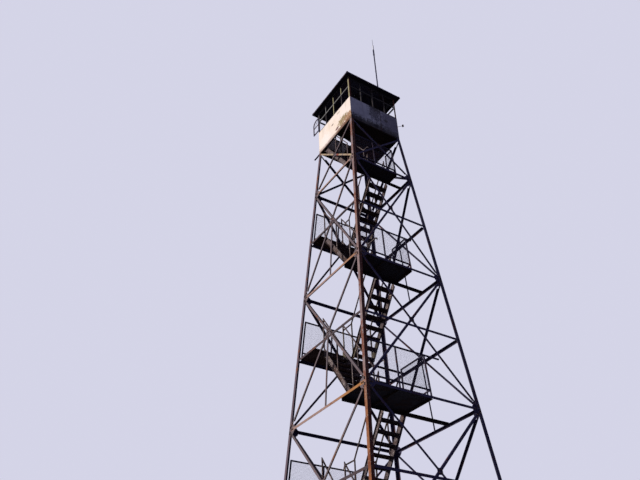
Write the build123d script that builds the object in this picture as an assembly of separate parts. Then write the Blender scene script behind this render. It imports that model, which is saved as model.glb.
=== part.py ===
from build123d import *
import math
import os

# Fire lookout tower: a four-legged tapering tower of steel angles with a
# switchback stair inside it, landings at every half panel and a small
# sheet-metal cab under a low hipped roof.
# Millimetres, Z up, origin on the ground at the middle of the four footings.
# The front is the -Y side and the right is the +X side.

FOOT = 304.8
FIT = 0.3

# Overall size of the steelwork
PANEL_H = 14 * FOOT
FULL_PANELS = 4
BASE_HALF = 2522
CAB_HALF = 1067

# Footings
PIER_H = 150
PIER_SIZE = 600
PIER_TAPER = 4
SHOE_SIZE = 280
SHOE_T = 20

# Steel sections: width of a flange and its thickness
LEG_W = 102
LEG_T = 10
GIRT_W = 76
GIRT_T = 6
BRACE_W = 64
BRACE_T = 6
HANGER_W = 51
HANGER_T = 5

# How the bracing meets the legs, measured in the plane of a face
EDGE_GAP = 20
COPE_GAP = 8
BRACE_INSET = 62
BRACE_DROP = 66
RIB_CUT = 210
GUSSET_W = 250
GUSSET_H = 270
GUSSET_CORNER = 70
CROSS_PLATE = 170
FOOT_GUSSET_H = 230

# Landings
FRAME_DEPTH = 100
FRAME_W = 50
FRAME_T = 6
DECK_T = 6
DECK_GAP = 3
LANDING_MARGIN = 60
RIGHT_EDGE_X = 660
LEFT_EDGE_X = -800
MID_BEAM_DEPTH = 50
JOIST_DEPTH = 50
JOIST_W = 40

# Stair
STAIR_W = 660
STRINGER_DEPTH = 160
STRINGER_FLANGE = 40
STRINGER_T = 6
LANE_GAP = 120
STAIR_Y_TOP = -120
STAIR_LEAN = 0.0415
TREAD_RISE = 254
LEAST_STEP = 50
TREAD_DEPTH = 200
TREAD_T = 5
TREAD_LIP = 35
TREAD_DROP = 20
HANDRAIL_H = 1100
HANDRAIL_W = 32
NEWEL_INSET = 40
RAIL_END_L = 480
RAIL_END_SHARE = 0.65
RAIL_END_R = 120

# Guard rails round the landings
GUARD_H = 1280
GUARD_W = 36
TOE_RAIL_Z = 190
GUARD_GAP = 1

# Cab
CAB_DECK_T = 25
SHEET_T = 3
SILL_H = 1067
SHEET_DROP = 30
RAIL_LIP = 40
RAIL_LIP_T = 5
CAB_WALL_H = 2160
POST_W = 64
POST_T = 6
WINDOW_BAYS = 4
MULLION_W = 36
WINDOW_BAR_D = 40
SILL_RAIL_H = 32
TRANSOM_Z = 1660
TRANSOM_H = 50
HEAD_RAIL_H = 50
HATCH_GAP = 8
HATCH_ROOM = 30

# Roof
EAVE_HALF = 1240
EAVE_PLATE_H = 40
EAVE_PLATE_W = 70
SOFFIT_T = 6
ROOF_RISE = 700
ROOF_T = 3
FASCIA_H = 60
CAP_HALF = 40
CAP_T = 4

# Fittings
MAST_X = 1145
MAST_Y = 260
MAST_R = 24
MAST_FOOT = 140
MAST_FOOT_T = 6
MAST_TOP = 4300
SLEEVE_R = 34
SLEEVE_H = 330
COIL_R = 28
COIL_H = 280
NECK_R = 14
NECK_H = 12
WHIP_R = 7
WHIP_H = 400
CONDUIT_R = 11
CONDUIT_GAP = 45
CLIP_T = 6
CLIP_H = 30
OUTRIGGER_L = 380
OUTRIGGER_W = 50
OUTRIGGER_H = 28
SASH_W = 385
SASH_H = 730
SASH_Z = 1240
SASH_T = 30
SASH_BAR = 40
SASH_CORNER_R = 220
GLAZING_BAR = 22
KNOB_REACH = 313
KNOB_INSET = 27
KNOB_Z = 330
KNOB_H = 70
KNOB_R = 35
KNOB_WAIST_R = 21
KNOB_LIP = 14
KNOB_ARM_Z = 600
KNOB_ARM_W = 14

Z_FOOT = PIER_H + SHOE_T
HALF_PANEL = PANEL_H / 2
LEVELS = 2 * FULL_PANELS + 1
TOWER_H = LEVELS * HALF_PANEL
LEAN = (BASE_HALF - CAB_HALF) / TOWER_H
SLANT = math.hypot(1, LEAN)
RUN = RIGHT_EDGE_X - LEFT_EDGE_X
DECK_UNDER = GIRT_W / 2
DECK_TOP = DECK_UNDER + DECK_T
STAIR_OVERALL = STAIR_W + 2 * STRINGER_FLANGE
DECK_EDGE_FULL = LEG_T + GIRT_T + DECK_GAP
DECK_EDGE_MID = LEG_T + BRACE_W + COPE_GAP
GUARD_INSET = LEG_T + GIRT_W
CAB_Z = Z_FOOT + TOWER_H
CAB_FRAME_Z = CAB_Z + DECK_UNDER - FRAME_DEPTH
CAB_FLOOR_Z = CAB_Z + DECK_UNDER + CAB_DECK_T
ROOF_Z = CAB_Z + CAB_WALL_H + EAVE_PLATE_H + SOFFIT_T + 2 * FIT
ROOF_PITCH = math.atan2(ROOF_RISE, EAVE_HALF - CAP_HALF)

LOW = (Align.CENTER, Align.CENTER, Align.MIN)


def level(n):
    """Height of the nth half-panel level, counted down from the cab."""
    return CAB_Z - n * HALF_PANEL


def half_width(z):
    """Half the width of the tower over the heels of its legs."""
    return BASE_HALF - LEAN * (z - Z_FOOT)


def save(name, shape):
    """Write one named sub-part."""
    export_step(shape, os.path.join("parts", name + ".step"))


def block(x0, x1, y0, y1, z0, z1):
    """A box between two corners."""
    size = (abs(x1 - x0), abs(y1 - y0), abs(z1 - z0))
    return Pos((x0 + x1) / 2, (y0 + y1) / 2, (z0 + z1) / 2) * Box(*size)


def joined(parts):
    """Fuse a list of overlapping solids into one."""
    return Part() + parts


def outline(points):
    """A closed flat face through the points."""
    return make_face(Polyline([Vector(*p) for p in points], close=True))


# Legs and footings
def leg():
    """The leg at the +x, +y corner, its heel outwards, with its base plate."""
    h = CAB_FRAME_Z - Z_FOOT - FIT
    b = BASE_HALF
    section = outline([(b, b, Z_FOOT), (b - LEG_W, b, Z_FOOT), (b - LEG_W, b - LEG_T, Z_FOOT),
                       (b - LEG_T, b - LEG_T, Z_FOOT), (b - LEG_T, b - LEG_W, Z_FOOT),
                       (b, b - LEG_W, Z_FOOT)])
    run = Vector(-LEAN * h, -LEAN * h, h)
    angle = extrude(section, amount=run.length, dir=run)
    near = b - LEG_W / 2 - SHOE_SIZE / 2
    shoe = block(near, near + SHOE_SIZE, near, near + SHOE_SIZE, PIER_H, Z_FOOT - FIT)
    return Compound([angle, shoe])


def pier():
    """The concrete footing under the +x, +y leg."""
    centre = BASE_HALF - LEG_W / 2
    body = extrude(Rectangle(PIER_SIZE, PIER_SIZE), amount=PIER_H, taper=PIER_TAPER)
    return Pos(centre, centre, 0) * body


# Face lattice, drawn flat in the plane of the front face
FACE = Plane(origin=(0, -BASE_HALF, Z_FOOT), x_dir=(1, 0, 0), z_dir=(0, -1, LEAN))


def up_face(z):
    """Distance up the slope of a face for a height."""
    return (z - Z_FOOT) * SLANT


def angle_bar(p, q, width, thick, cut, upper=True):
    """An angle from p to q, one flange in the face and one turned inwards.

    The inward flange is cut back by cut at both ends."""
    dx = q[0] - p[0]
    dy = q[1] - p[1]
    length = math.hypot(dx, dy)
    turn = math.degrees(math.atan2(dy, dx))
    edge = width / 2 if upper else thick - width / 2
    flat = block(0, length, -width / 2, width / 2, -LEG_T - thick, -LEG_T)
    rib = block(cut, length - cut, edge - thick, edge, -LEG_T - width, -LEG_T)
    return [Pos(p[0], p[1], 0) * Rot(0, 0, turn) * part for part in (flat, rib)]


def girt(n):
    """The horizontal angle of a face at a level."""
    z = level(n)
    half = half_width(z + GIRT_W / 2) - EDGE_GAP
    v = up_face(z)
    return angle_bar((-half, v), (half, v), GIRT_W, GIRT_T, LEG_W - EDGE_GAP + COPE_GAP)


def gusset(u, v, height, below):
    """A corner plate on the leg at u, reaching below v by below."""
    side = math.copysign(1, u)
    inner = abs(u) - GUSSET_W
    top = v - below + height
    pts = [(abs(u), v - below), (inner + GUSSET_CORNER, v - below),
           (inner, v - below + GUSSET_CORNER), (inner, top - GUSSET_CORNER),
           (inner + GUSSET_CORNER, top), (abs(u), top)]
    face = outline([(side * x, y, 0) for x, y in pts])
    return extrude(face, amount=GIRT_T, dir=(0, 0, -1)).moved(Location((0, 0, -LEG_T)))


def brace_ends(low, high, low_up, high_down):
    """Where the two diagonals of a panel end: lower corner and upper corner."""
    z0 = level(low)
    z1 = level(high)
    foot = (half_width(z0) - BRACE_INSET, up_face(z0) + low_up)
    head = (half_width(z1) - BRACE_INSET, up_face(z1) - high_down)
    return foot, head


def crossing(foot, head):
    """Height up the face where the two diagonals cross."""
    return foot[1] + (head[1] - foot[1]) * foot[0] / (foot[0] + head[0])


def cross_bracing(low, high, low_up=BRACE_DROP, high_down=BRACE_DROP):
    """The crossed diagonals of one panel and the plate where they meet."""
    foot, head = brace_ends(low, high, low_up, high_down)
    bars = []
    for side in (1, -1):
        bars += angle_bar((-side * foot[0], foot[1]), (side * head[0], head[1]),
                          BRACE_W, BRACE_T, RIB_CUT, side > 0)
    middle = crossing(foot, head)
    plate = Pos(0, middle, -LEG_T - BRACE_T / 2) * Box(CROSS_PLATE, CROSS_PLATE, BRACE_T)
    return bars + [plate]


def brace_at(n, rise):
    """How far from the middle of a face the diagonal from level n is, that much higher."""
    foot, head = brace_ends(n, max(n - 2, 0), BRACE_DROP, BRACE_DROP)
    part = (rise * SLANT - BRACE_DROP) / (head[1] - foot[1])
    return foot[0] - part * (foot[0] + head[0])


def hanger(low, high):
    """The upright from the crossing of the diagonals to the girt below."""
    middle = crossing(*brace_ends(low, high, BRACE_DROP, BRACE_DROP))
    foot = up_face(level(low))
    return angle_bar((0, foot), (0, middle), HANGER_W, HANGER_T, GIRT_W / 2 + 2 * COPE_GAP)


def upper_lattice(hung):
    """Everything above the lowest panel of one face, with uprights if hung."""
    top = up_face(CAB_FRAME_Z - COPE_GAP)
    bars = []
    for n in range(1, LEVELS - 1):
        bars += girt(n)
    for n in range(1, LEVELS, 2):
        u = half_width(level(n) + GUSSET_H / 2) - EDGE_GAP
        for side in (1, -1):
            bars.append(gusset(side * u, up_face(level(n)), GUSSET_H, GUSSET_H / 2))
    bars += cross_bracing(1, 0, BRACE_DROP, up_face(level(0)) - top + BRACE_W)
    for n in range(3, LEVELS, 2):
        bars += cross_bracing(n, n - 2)
        if hung:
            bars += hanger(n, n - 2)
    return joined(bars)


def base_bracing():
    """The crossed diagonals and the mid girt of the lowest panel of one face."""
    n = LEVELS
    drop = GUSSET_H / 2 + BRACE_W
    bars = cross_bracing(n, n - 2, 2 * BRACE_W, drop) + girt(n - 1)
    u = half_width(Z_FOOT + FOOT_GUSSET_H) - EDGE_GAP
    for side in (1, -1):
        bars.append(gusset(side * u, (LEG_T + GIRT_T) * LEAN + FIT, FOOT_GUSSET_H, 0))
    return joined(bars)


# Landings
def girt_toe(n):
    """How far from the middle the toe of a girt's inward flange lies."""
    z = level(n)
    return half_width(z) - GIRT_W / 2 * LEAN - (LEG_T + GIRT_W) * SLANT - FIT


def channel(x0, y0, x1, y1, depth, width, top):
    """A channel along X or Y, its web on the line and its flanges to the left."""
    length = math.hypot(x1 - x0, y1 - y0)
    turn = math.degrees(math.atan2(y1 - y0, x1 - x0))
    body = block(0, length, 0, width, top - depth, top)
    hollow = block(0, length, FRAME_T, width, top - depth + FRAME_T, top - FRAME_T)
    return Pos(x0, y0, 0) * Rot(0, 0, turn) * (body - hollow)


def lane_centre(n):
    """Middle of the gap between the two stair lanes at a level."""
    return STAIR_Y_TOP - STAIR_LEAN * n * HALF_PANEL


def landing_end(n):
    """Y of the inner end of a landing: it covers both stair lanes."""
    full = n if n % 2 else n - 1
    return lane_centre(full) + LANE_GAP / 2 + STAIR_OVERALL + LANDING_MARGIN


def landing(n):
    """Deck and framing of the landing at a level, right or left of the stair."""
    side = 1 if n % 2 else -1
    z = level(n)
    top = z + DECK_UNDER
    reach = girt_toe(n)
    inner = RIGHT_EDGE_X if side > 0 else -LEFT_EDGE_X
    edge = half_width(z + DECK_UNDER) - (DECK_EDGE_FULL if side > 0 else DECK_EDGE_MID)
    end = landing_end(n)
    front = DECK_EDGE_FULL - half_width(z + DECK_UNDER)
    depth = FRAME_DEPTH if side > 0 else MID_BEAM_DEPTH
    deck = block(inner, edge, front, end, top, top + DECK_T)
    beam = channel(inner, reach, inner, -reach, depth, FRAME_W, top)
    parts = [deck, beam]
    joists = [end, (end + front) / 2]
    for y in joists:
        parts.append(channel(inner, y - JOIST_W, reach, y - JOIST_W, JOIST_DEPTH, JOIST_W, top))
    body = joined(parts)
    if side < 0:
        body = mirror(body, about=Plane.YZ)
    return body


# Guard rails, drawn flat between two edge lines, each a place across for a height up
def upright_line(place):
    """An edge line that stands square."""
    return lambda up: place


def leaning_line(depth):
    """An edge line in a face, that deep under the face that meets it on the left."""
    return lambda up: (LEAN * up + depth) / SLANT - BASE_HALF


def post_line(left, right, share):
    """The left edge of a post, a share of the way between two edge lines."""
    return lambda up: left(up) + share * (right(up) - left(up) - GUARD_W)


def moved_line(line, by):
    """An edge line moved across."""
    return lambda up: line(up) + by


def guard_bar(low, high, left, right):
    """A bar between two heights and two edge lines, its outer face on the drawing."""
    face = outline([(left(low), low, 0), (right(low), low, 0),
                    (right(high), high, 0), (left(high), high, 0)])
    return extrude(face, amount=GUARD_W, dir=(0, 0, -1))


def guard_panel(foot, left, right, shares, stop=0):
    """A guard panel: posts at shares of the way across, a top rail and a toe rail.

    The top rail runs on past the right edge line by stop."""
    top = foot + GUARD_H
    toe = foot + TOE_RAIL_Z
    bars = [guard_bar(top - GUARD_W, top, left, moved_line(right, stop)),
            guard_bar(toe, toe + GUARD_W, left, right)]
    for share in shares:
        line = post_line(left, right, share)
        bars.append(guard_bar(foot, top, line, moved_line(line, GUARD_W)))
    return joined(bars)


def guard(n):
    """The two guard panels of a landing: the outer side leans with its face, the end stands."""
    side = 1 if n % 2 else -1
    floor = level(n) + DECK_TOP + FIT
    foot = up_face(floor) + (GUARD_INSET + GUARD_W) * LEAN
    inner = upright_line(RIGHT_EDGE_X if side > 0 else -LEFT_EDGE_X)
    end = landing_end(n)
    clear = (GUARD_INSET + GUARD_W + GUARD_GAP) * SLANT
    reach = max(0, brace_at(n, DECK_TOP + GUARD_H) - end) if side > 0 else 0
    outer = guard_panel(foot, leaning_line(GUARD_INSET), upright_line(end), [0, 0.5, 1], reach)
    across = guard_panel(floor, inner, lambda z: half_width(z) - clear, [0])
    end_plane = Plane(origin=(0, end - GUARD_W, 0), x_dir=(1, 0, 0), z_dir=(0, -1, 0))
    panels = [Rot(0, 0, 90) * FACE.location * Pos(0, 0, -GUARD_INSET) * outer,
              end_plane.location * across]
    if side < 0:
        panels = [mirror(p, about=Plane.YZ) for p in panels]
    return panels


# Stair flights, built along +X from the lower landing's edge
def band(slope, low, high, s0, s1):
    """A sloping strip between two heights above the line of the treads."""
    return [(s0, slope * s0 + low), (s1, slope * s1 + low),
            (s1, slope * s1 + high), (s0, slope * s0 + high)]


def flat_face(points):
    """A face in the XZ plane."""
    return outline([(x, 0, z) for x, z in points])


def slab(points, y0, y1):
    """A flat shape in the XZ plane, given its thickness along Y."""
    face = flat_face(points).moved(Location((0, y0, 0)))
    return extrude(face, amount=y1 - y0, dir=(0, 1, 0))


def stringer(rise, run):
    """The right-hand stringer: a channel with its flanges away from the treads."""
    slope = rise / run
    half = STRINGER_DEPTH / 2 * math.hypot(1, slope)
    lip = STRINGER_T * math.hypot(1, slope)
    y = STAIR_W / 2
    reach = STRINGER_DEPTH * 2
    limit = block(-reach, run - FIT, 0, y + STRINGER_FLANGE, 0, rise + reach)
    body = slab(band(slope, -half - TREAD_DROP, half - TREAD_DROP, -reach, run + reach),
                y, y + STRINGER_FLANGE)
    hollow = slab(band(slope, lip - half - TREAD_DROP, half - lip - TREAD_DROP,
                       -2 * reach, run + 2 * reach), y + STRINGER_T, y + 2 * STRINGER_FLANGE)
    return (body - hollow) & limit


def tread(s, z):
    """A bent-plate tread with lips turned down front and back."""
    half = STAIR_W / 2 - FIT
    body = block(s - TREAD_DEPTH / 2, s + TREAD_DEPTH / 2, -half, half, z - TREAD_LIP, z)
    hollow = block(s - TREAD_DEPTH / 2 + TREAD_T, s + TREAD_DEPTH / 2 - TREAD_T,
                   -half, half, z - TREAD_LIP, z - TREAD_T)
    return body - hollow


def handrail(rise, run):
    """The right-hand handrail with its posts on the stringer."""
    slope = rise / run
    half = STRINGER_DEPTH / 2 * math.hypot(1, slope)
    thick = HANDRAIL_W * math.hypot(1, slope) / 2
    top_flange = half - TREAD_DROP + FIT
    y = STAIR_W / 2 + STRINGER_FLANGE - HANDRAIL_W
    first = NEWEL_INSET
    last = run - NEWEL_INSET - HANDRAIL_W
    bars = [slab(band(slope, HANDRAIL_H - thick, HANDRAIL_H + thick, first, last + HANDRAIL_W),
                 y, y + HANDRAIL_W)]
    for s in (first, (first + last) / 2, last):
        bars.append(slab(band(slope, top_flange, HANDRAIL_H, s, s + HANDRAIL_W),
                         y, y + HANDRAIL_W))
    return joined(bars)


def rail_end(rise, run, reach):
    """The inner handrail's level end over the lower landing, turned down at its tip."""
    w = HANDRAIL_W
    r = RAIL_END_R
    y = -STAIR_W / 2 - STRINGER_FLANGE
    top = HANDRAIL_H + NEWEL_INSET * rise / run + w / 2
    straight = block(r - reach, NEWEL_INSET + w, y, y + w, top - w, top)
    ring = Cylinder(r, w) - Cylinder(r - w, w)
    turned = Pos(r - reach, y + w / 2, top - r) * Rot(90, 0, 0) * ring
    return joined([straight, turned & block(-reach, r - reach, y, y + w, top - r, top)])


def flight(rise, run, reach):
    """One flight: two stringers, open treads stepped down from the top, two handrails.

    The inner handrail reaches that far over the lower landing."""
    right = stringer(rise, run)
    rail = handrail(rise, run)
    inner_rail = joined([mirror(rail, about=Plane.XZ), rail_end(rise, run, reach)])
    solids = [right, mirror(right, about=Plane.XZ), rail, inner_rail]
    for i in range(int((rise - LEAST_STEP) / TREAD_RISE)):
        z = rise - (i + 1) * TREAD_RISE
        solids.append(tread(z * run / rise, z))
    return solids


def place_flight(n):
    """The flight that climbs from level n to the level above it."""
    outwards = n % 2 == 1
    top = CAB_FLOOR_Z if n == 1 else level(n - 1) + DECK_TOP
    full = n if outwards else n - 1
    sign = -1 if outwards else 1
    y = lane_centre(full) + sign * (LANE_GAP + STAIR_OVERALL) / 2
    base = 0 if n == LEVELS else level(n) + DECK_TOP
    rise = top - base
    run = rise * RUN / HALF_PANEL if n == LEVELS else RUN
    start = LEFT_EDGE_X + run if outwards else LEFT_EDGE_X
    room = half_width(base + HANDRAIL_H) - (GUARD_INSET + GUARD_W) * SLANT - abs(start)
    place = Pos(start, y, base) * Rot(0, 0, 180 if outwards else 0)
    return [place * s for s in flight(rise, run, min(RAIL_END_L, RAIL_END_SHARE * room))]


# Cab
def floor_frame():
    """The ring of channels under the cab floor, with the joists of the hatch."""
    z0 = CAB_FRAME_Z
    z1 = CAB_FRAME_Z + FRAME_DEPTH
    h = CAB_HALF
    ring = block(-h, h, -h, h, z0, z1)
    ring -= block(-h + FRAME_W, h - FRAME_W, -h + FRAME_W, h - FRAME_W, z0, z1)
    ring -= block(-h + FRAME_T, h - FRAME_T, -h + FRAME_T, h - FRAME_T, z0 + FRAME_T, z1 - FRAME_T)
    x0, x1, y1 = hatch_edges()
    reach = h - FRAME_T
    west = channel(x0, -reach, x0, reach, FRAME_DEPTH, FRAME_W, z1)
    east = channel(x1, reach, x1, -reach, FRAME_DEPTH, FRAME_W, z1)
    head = channel(x0, y1, x1, y1, FRAME_DEPTH, FRAME_W, z1)
    return joined([ring, west, east, head])


def hatch_edges():
    """Left edge, right edge and inner edge of the floor hatch, clear of the handrail."""
    base = level(1) + DECK_TOP
    slope = (CAB_FLOOR_Z - base) / RUN
    rail_top = HANDRAIL_H + HANDRAIL_W * math.hypot(1, slope) / 2
    right = RIGHT_EDGE_X - (CAB_FRAME_Z - base - rail_top) / slope + HATCH_ROOM
    lane = lane_centre(1) - (LANE_GAP + STAIR_OVERALL) / 2
    return LEFT_EDGE_X, right, lane + STAIR_OVERALL / 2 + HATCH_GAP


def cab_floor():
    """The floor boards, cut away over the hatch."""
    h = CAB_HALF - FIT
    z = CAB_FLOOR_Z
    x0, x1, y1 = hatch_edges()
    boards = block(-h, h, -h, h, z - CAB_DECK_T, z)
    return boards - block(x0, x1, -CAB_HALF + FRAME_W, y1, z - 2 * CAB_DECK_T, z + CAB_DECK_T)


def lower_wall(reach):
    """The sheet of the front wall below the windows, with its two rails."""
    y = -CAB_HALF
    sill = CAB_Z + SILL_H
    rail = CAB_HALF - POST_W - 2 * FIT
    sheet = block(-reach, reach, y - SHEET_T, y, CAB_Z - SHEET_DROP, sill)
    top = block(-rail, rail, y, y + RAIL_LIP, sill - RAIL_LIP_T, sill)
    foot = block(-rail, rail, y, y + RAIL_LIP, CAB_FLOOR_Z + FIT, CAB_FLOOR_Z + FIT + RAIL_LIP_T)
    return joined([sheet, top, foot])


def corner_post():
    """The angle post at the +x, +y corner of the cab."""
    h = CAB_HALF - FIT
    z0 = CAB_FLOOR_Z
    z1 = CAB_Z + CAB_WALL_H
    body = block(h - POST_W, h, h - POST_W, h, z0, z1)
    return body - block(h - POST_W, h - POST_T, h - POST_W, h - POST_T, z0, z1)


def window_frame():
    """The bars of the front window row: rails, mullions between them."""
    half = CAB_HALF - POST_W - 2 * FIT
    y0 = -CAB_HALF + FIT
    y1 = y0 + WINDOW_BAR_D
    sill = CAB_Z + SILL_H + FIT
    transom = CAB_Z + TRANSOM_Z
    head = CAB_Z + CAB_WALL_H - HEAD_RAIL_H
    bars = [block(-half, half, y0, y1, sill, sill + SILL_RAIL_H),
            block(-half, half, y0, y1, transom, transom + TRANSOM_H),
            block(-half, half, y0, y1, head, head + HEAD_RAIL_H)]
    bay = 2 * CAB_HALF / WINDOW_BAYS
    spans = [(sill + SILL_RAIL_H, transom), (transom + TRANSOM_H, head)]
    for i in range(1, WINDOW_BAYS):
        x = i * bay - CAB_HALF
        for low, high in spans:
            bars.append(block(x - MULLION_W / 2, x + MULLION_W / 2, y0, y1, low + FIT, high - FIT))
    return bars


def roof_frame():
    """The eave plate on the wall heads and the flat soffit round it."""
    z0 = CAB_Z + CAB_WALL_H + FIT
    z1 = z0 + EAVE_PLATE_H
    h = CAB_HALF
    inner = h - EAVE_PLATE_W
    edge = EAVE_HALF - ROOF_T - FIT
    ring = block(-h, h, -h, h, z0, z1)
    soffit = block(-edge, edge, -edge, edge, z1, z1 + SOFFIT_T)
    return joined([ring, soffit]) - block(-inner, inner, -inner, inner, z0, z1 + SOFFIT_T)


def roof_height(out):
    """Height of the roof's outer face at a distance from the middle."""
    return ROOF_Z + (EAVE_HALF - out) * math.tan(ROOF_PITCH)


def hip_sheet():
    """The sheet of the right-hand slope, mitred at both hips."""
    drop = ROOF_T / math.cos(ROOF_PITCH)
    edge = EAVE_HALF - ROOF_T / math.sin(ROOF_PITCH)
    top = ROOF_Z + ROOF_RISE
    strip = slab([(EAVE_HALF, ROOF_Z), (CAP_HALF, top), (CAP_HALF, top - drop), (edge, ROOF_Z)],
                 -EAVE_HALF, EAVE_HALF)
    reach = 2 * EAVE_HALF
    wedge = outline([(FIT, 0, ROOF_Z), (reach, FIT - reach, ROOF_Z), (reach, reach - FIT, ROOF_Z)])
    return strip & extrude(wedge, amount=ROOF_RISE, dir=(0, 0, 1))


def fascia(reach):
    """The strip under the right-hand eave."""
    h = EAVE_HALF
    return block(h - ROOF_T, h, -reach, reach, ROOF_Z - FASCIA_H, ROOF_Z - FIT)


def roof():
    """The sheet roof: four hip sheets, the fascia strips under them and a cap."""
    sheets = corners(hip_sheet())
    for i in range(4):
        reach = EAVE_HALF if i % 2 else EAVE_HALF - ROOF_T - FIT
        sheets.append(Rot(0, 0, 90 * i) * fascia(reach))
    top = ROOF_Z + ROOF_RISE + FIT
    sheets.append(block(-CAP_HALF, CAP_HALF, -CAP_HALF, CAP_HALF, top, top + CAP_T))
    return Compound(sheets)


# Fittings
def antenna_mast():
    """The pipe and its foot plate on the right-hand slope of the roof."""
    z = roof_height(MAST_X)
    pipe = Pos(MAST_X, MAST_Y, ROOF_Z) * Cylinder(MAST_R, CAB_Z + MAST_TOP - ROOF_Z, align=LOW)
    slope = Pos(MAST_X, MAST_Y, z) * Rot(0, math.degrees(ROOF_PITCH), 0)
    foot = slope * block(-MAST_FOOT / 2, MAST_FOOT / 2, -MAST_FOOT / 2, MAST_FOOT / 2,
                         FIT, FIT + MAST_FOOT_T)
    below = slope * block(-EAVE_HALF, EAVE_HALF, -MAST_FOOT, MAST_FOOT, -EAVE_HALF, FIT)
    return joined([pipe - below, foot])


def antenna_whip():
    """The aerial on top of the pipe: a thick sleeve, a coil housing and a thin whip."""
    coil = SLEEVE_H + NECK_H
    rod = coil + COIL_H
    profile = [(0, 0), (SLEEVE_R, 0), (SLEEVE_R, SLEEVE_H), (NECK_R, SLEEVE_H), (NECK_R, coil),
               (COIL_R, coil), (COIL_R, rod), (WHIP_R, rod), (WHIP_R, rod + WHIP_H), (0, rod + WHIP_H)]
    return Pos(MAST_X, MAST_Y, CAB_Z + MAST_TOP + FIT) * revolve(flat_face(profile), Axis.Z)


def conduit():
    """The thin pipe clipped along the outside of the back right leg."""
    low = Z_FOOT + CLIP_H
    b = half_width(low)
    h = CAB_FRAME_Z - low - SHEET_DROP
    run = Vector(-LEAN * h, -LEAN * h, h)
    start = (b + CLIP_T + CONDUIT_R, b - LEG_W - CONDUIT_GAP, low)
    parts = [Plane(origin=start, z_dir=run) * Cylinder(CONDUIT_R, run.length, align=LOW)]
    for n in range(1, LEVELS):
        z = level(n)
        b = half_width(z)
        out = b + CLIP_T + CONDUIT_R
        y = b - LEG_W - CONDUIT_GAP
        back = b - LEG_W / 2
        face = outline([(b + FIT, y, z), (out, y, z), (out, back, z), (b + FIT, back, z)])
        parts.append(extrude(face, amount=CLIP_H, dir=(-LEAN, -LEAN, 1)))
    return joined(parts)


def outrigger():
    """The short arm that sticks out past the front left corner of the floor."""
    x1 = -CAB_HALF - FIT
    y0 = -CAB_HALF
    z1 = CAB_Z - SHEET_DROP - FIT
    return block(x1 - OUTRIGGER_L, x1, y0, y0 + OUTRIGGER_W, z1 - OUTRIGGER_H, z1)


def sash_pane(width, height, radius):
    """A rectangle with its far upper corner rounded."""
    pane = Rectangle(width, height, align=(Align.MIN, Align.MIN))
    corner = pane.vertices().sort_by(Axis.X)[-2:].sort_by(Axis.Y)[-1]
    return fillet(corner, radius)


def open_sash():
    """The side-hung sash at the front left post, swung out into line with the front wall."""
    b = SASH_BAR
    inside = sash_pane(SASH_W - 2 * b, SASH_H - 2 * b, SASH_CORNER_R - b)
    frame = sash_pane(SASH_W, SASH_H, SASH_CORNER_R) - Pos(b, b) * inside
    bar = Pos(SASH_W / 2, SASH_H / 2) * Rectangle(SASH_W - b, GLAZING_BAR)
    hinge = Plane(origin=(-CAB_HALF, -CAB_HALF + FIT, CAB_Z + SASH_Z), x_dir=(-1, 0, 0),
                  z_dir=(0, 1, 0))
    return hinge.location * extrude(frame + bar, amount=SASH_T)


def wire_knob():
    """The porcelain spool on its sloping arm, on the right-hand wall near the back."""
    x0 = CAB_HALF + SHEET_T + FIT
    half = KNOB_ARM_W / 2
    middle = KNOB_Z + KNOB_H / 2
    arm = slab([(0, KNOB_ARM_Z - half), (KNOB_REACH, middle - half),
                (KNOB_REACH, middle + half), (0, KNOB_ARM_Z + half)], -half, half)
    rim = KNOB_H - KNOB_LIP
    profile = [(0, 0), (KNOB_R, 0), (KNOB_R, KNOB_LIP), (KNOB_WAIST_R, KNOB_LIP),
               (KNOB_WAIST_R, rim), (KNOB_R, rim), (KNOB_R, KNOB_H), (0, KNOB_H)]
    spool = Pos(KNOB_REACH, 0, KNOB_Z) * revolve(flat_face(profile), Axis.Z)
    return Pos(x0, CAB_HALF - KNOB_INSET, CAB_Z) * joined([arm, spool])


def corners(shape):
    """Copies of a shape at the four corners, from back right round."""
    return [Rot(0, 0, 90 * i) * shape for i in range(4)]


CORNERS = ["back_right", "back_left", "front_left", "front_right"]
SIDES = ["front", "right", "back", "left"]


def main():
    os.makedirs("parts", exist_ok=True)
    save("concrete_piers", Compound(corners(pier())))
    for name, shape in zip(CORNERS, corners(leg())):
        save("leg_" + name, shape)
    for i, name in enumerate(SIDES):
        save("lattice_" + name, Rot(0, 0, 90 * i) * FACE.location * upper_lattice(i % 2 == 0))
    save("base_bracing", Compound(corners(FACE.location * base_bracing())))
    for n in range(1, LEVELS):
        save("landing_%d" % (LEVELS - n), landing(n))
    for name, start in (("guard_rails_right", 1), ("guard_rails_left", 2)):
        panels = []
        for n in range(start, LEVELS, 2):
            panels += guard(n)
        save(name, Compound(panels))
    for n in range(1, LEVELS + 1):
        save("stair_flight_%d" % (LEVELS + 1 - n), Compound(place_flight(n)))
    save("cab_floor_frame", floor_frame())
    save("cab_floor", cab_floor())
    for i, name in enumerate(SIDES):
        reach = CAB_HALF + SHEET_T if i % 2 == 0 else CAB_HALF - FIT
        save("cab_wall_" + name, Rot(0, 0, 90 * i) * lower_wall(reach))
        save("window_bars_" + name, Compound([Rot(0, 0, 90 * i) * b for b in window_frame()]))
    save("cab_corner_posts", Compound(corners(corner_post())))
    save("roof_frame", roof_frame())
    save("roof", roof())
    save("antenna_mast", antenna_mast())
    save("antenna_whip", antenna_whip())
    save("leg_conduit", conduit())
    save("floor_outrigger", outrigger())
    save("open_sash", open_sash())
    save("wire_knob", wire_knob())


main()
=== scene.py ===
"""The looks of the fire lookout tower: finishes, bolts, mesh, boards and cladding.

Metres, Z up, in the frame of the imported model. The front is the -Y side and the right the +X side.
"""

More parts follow.
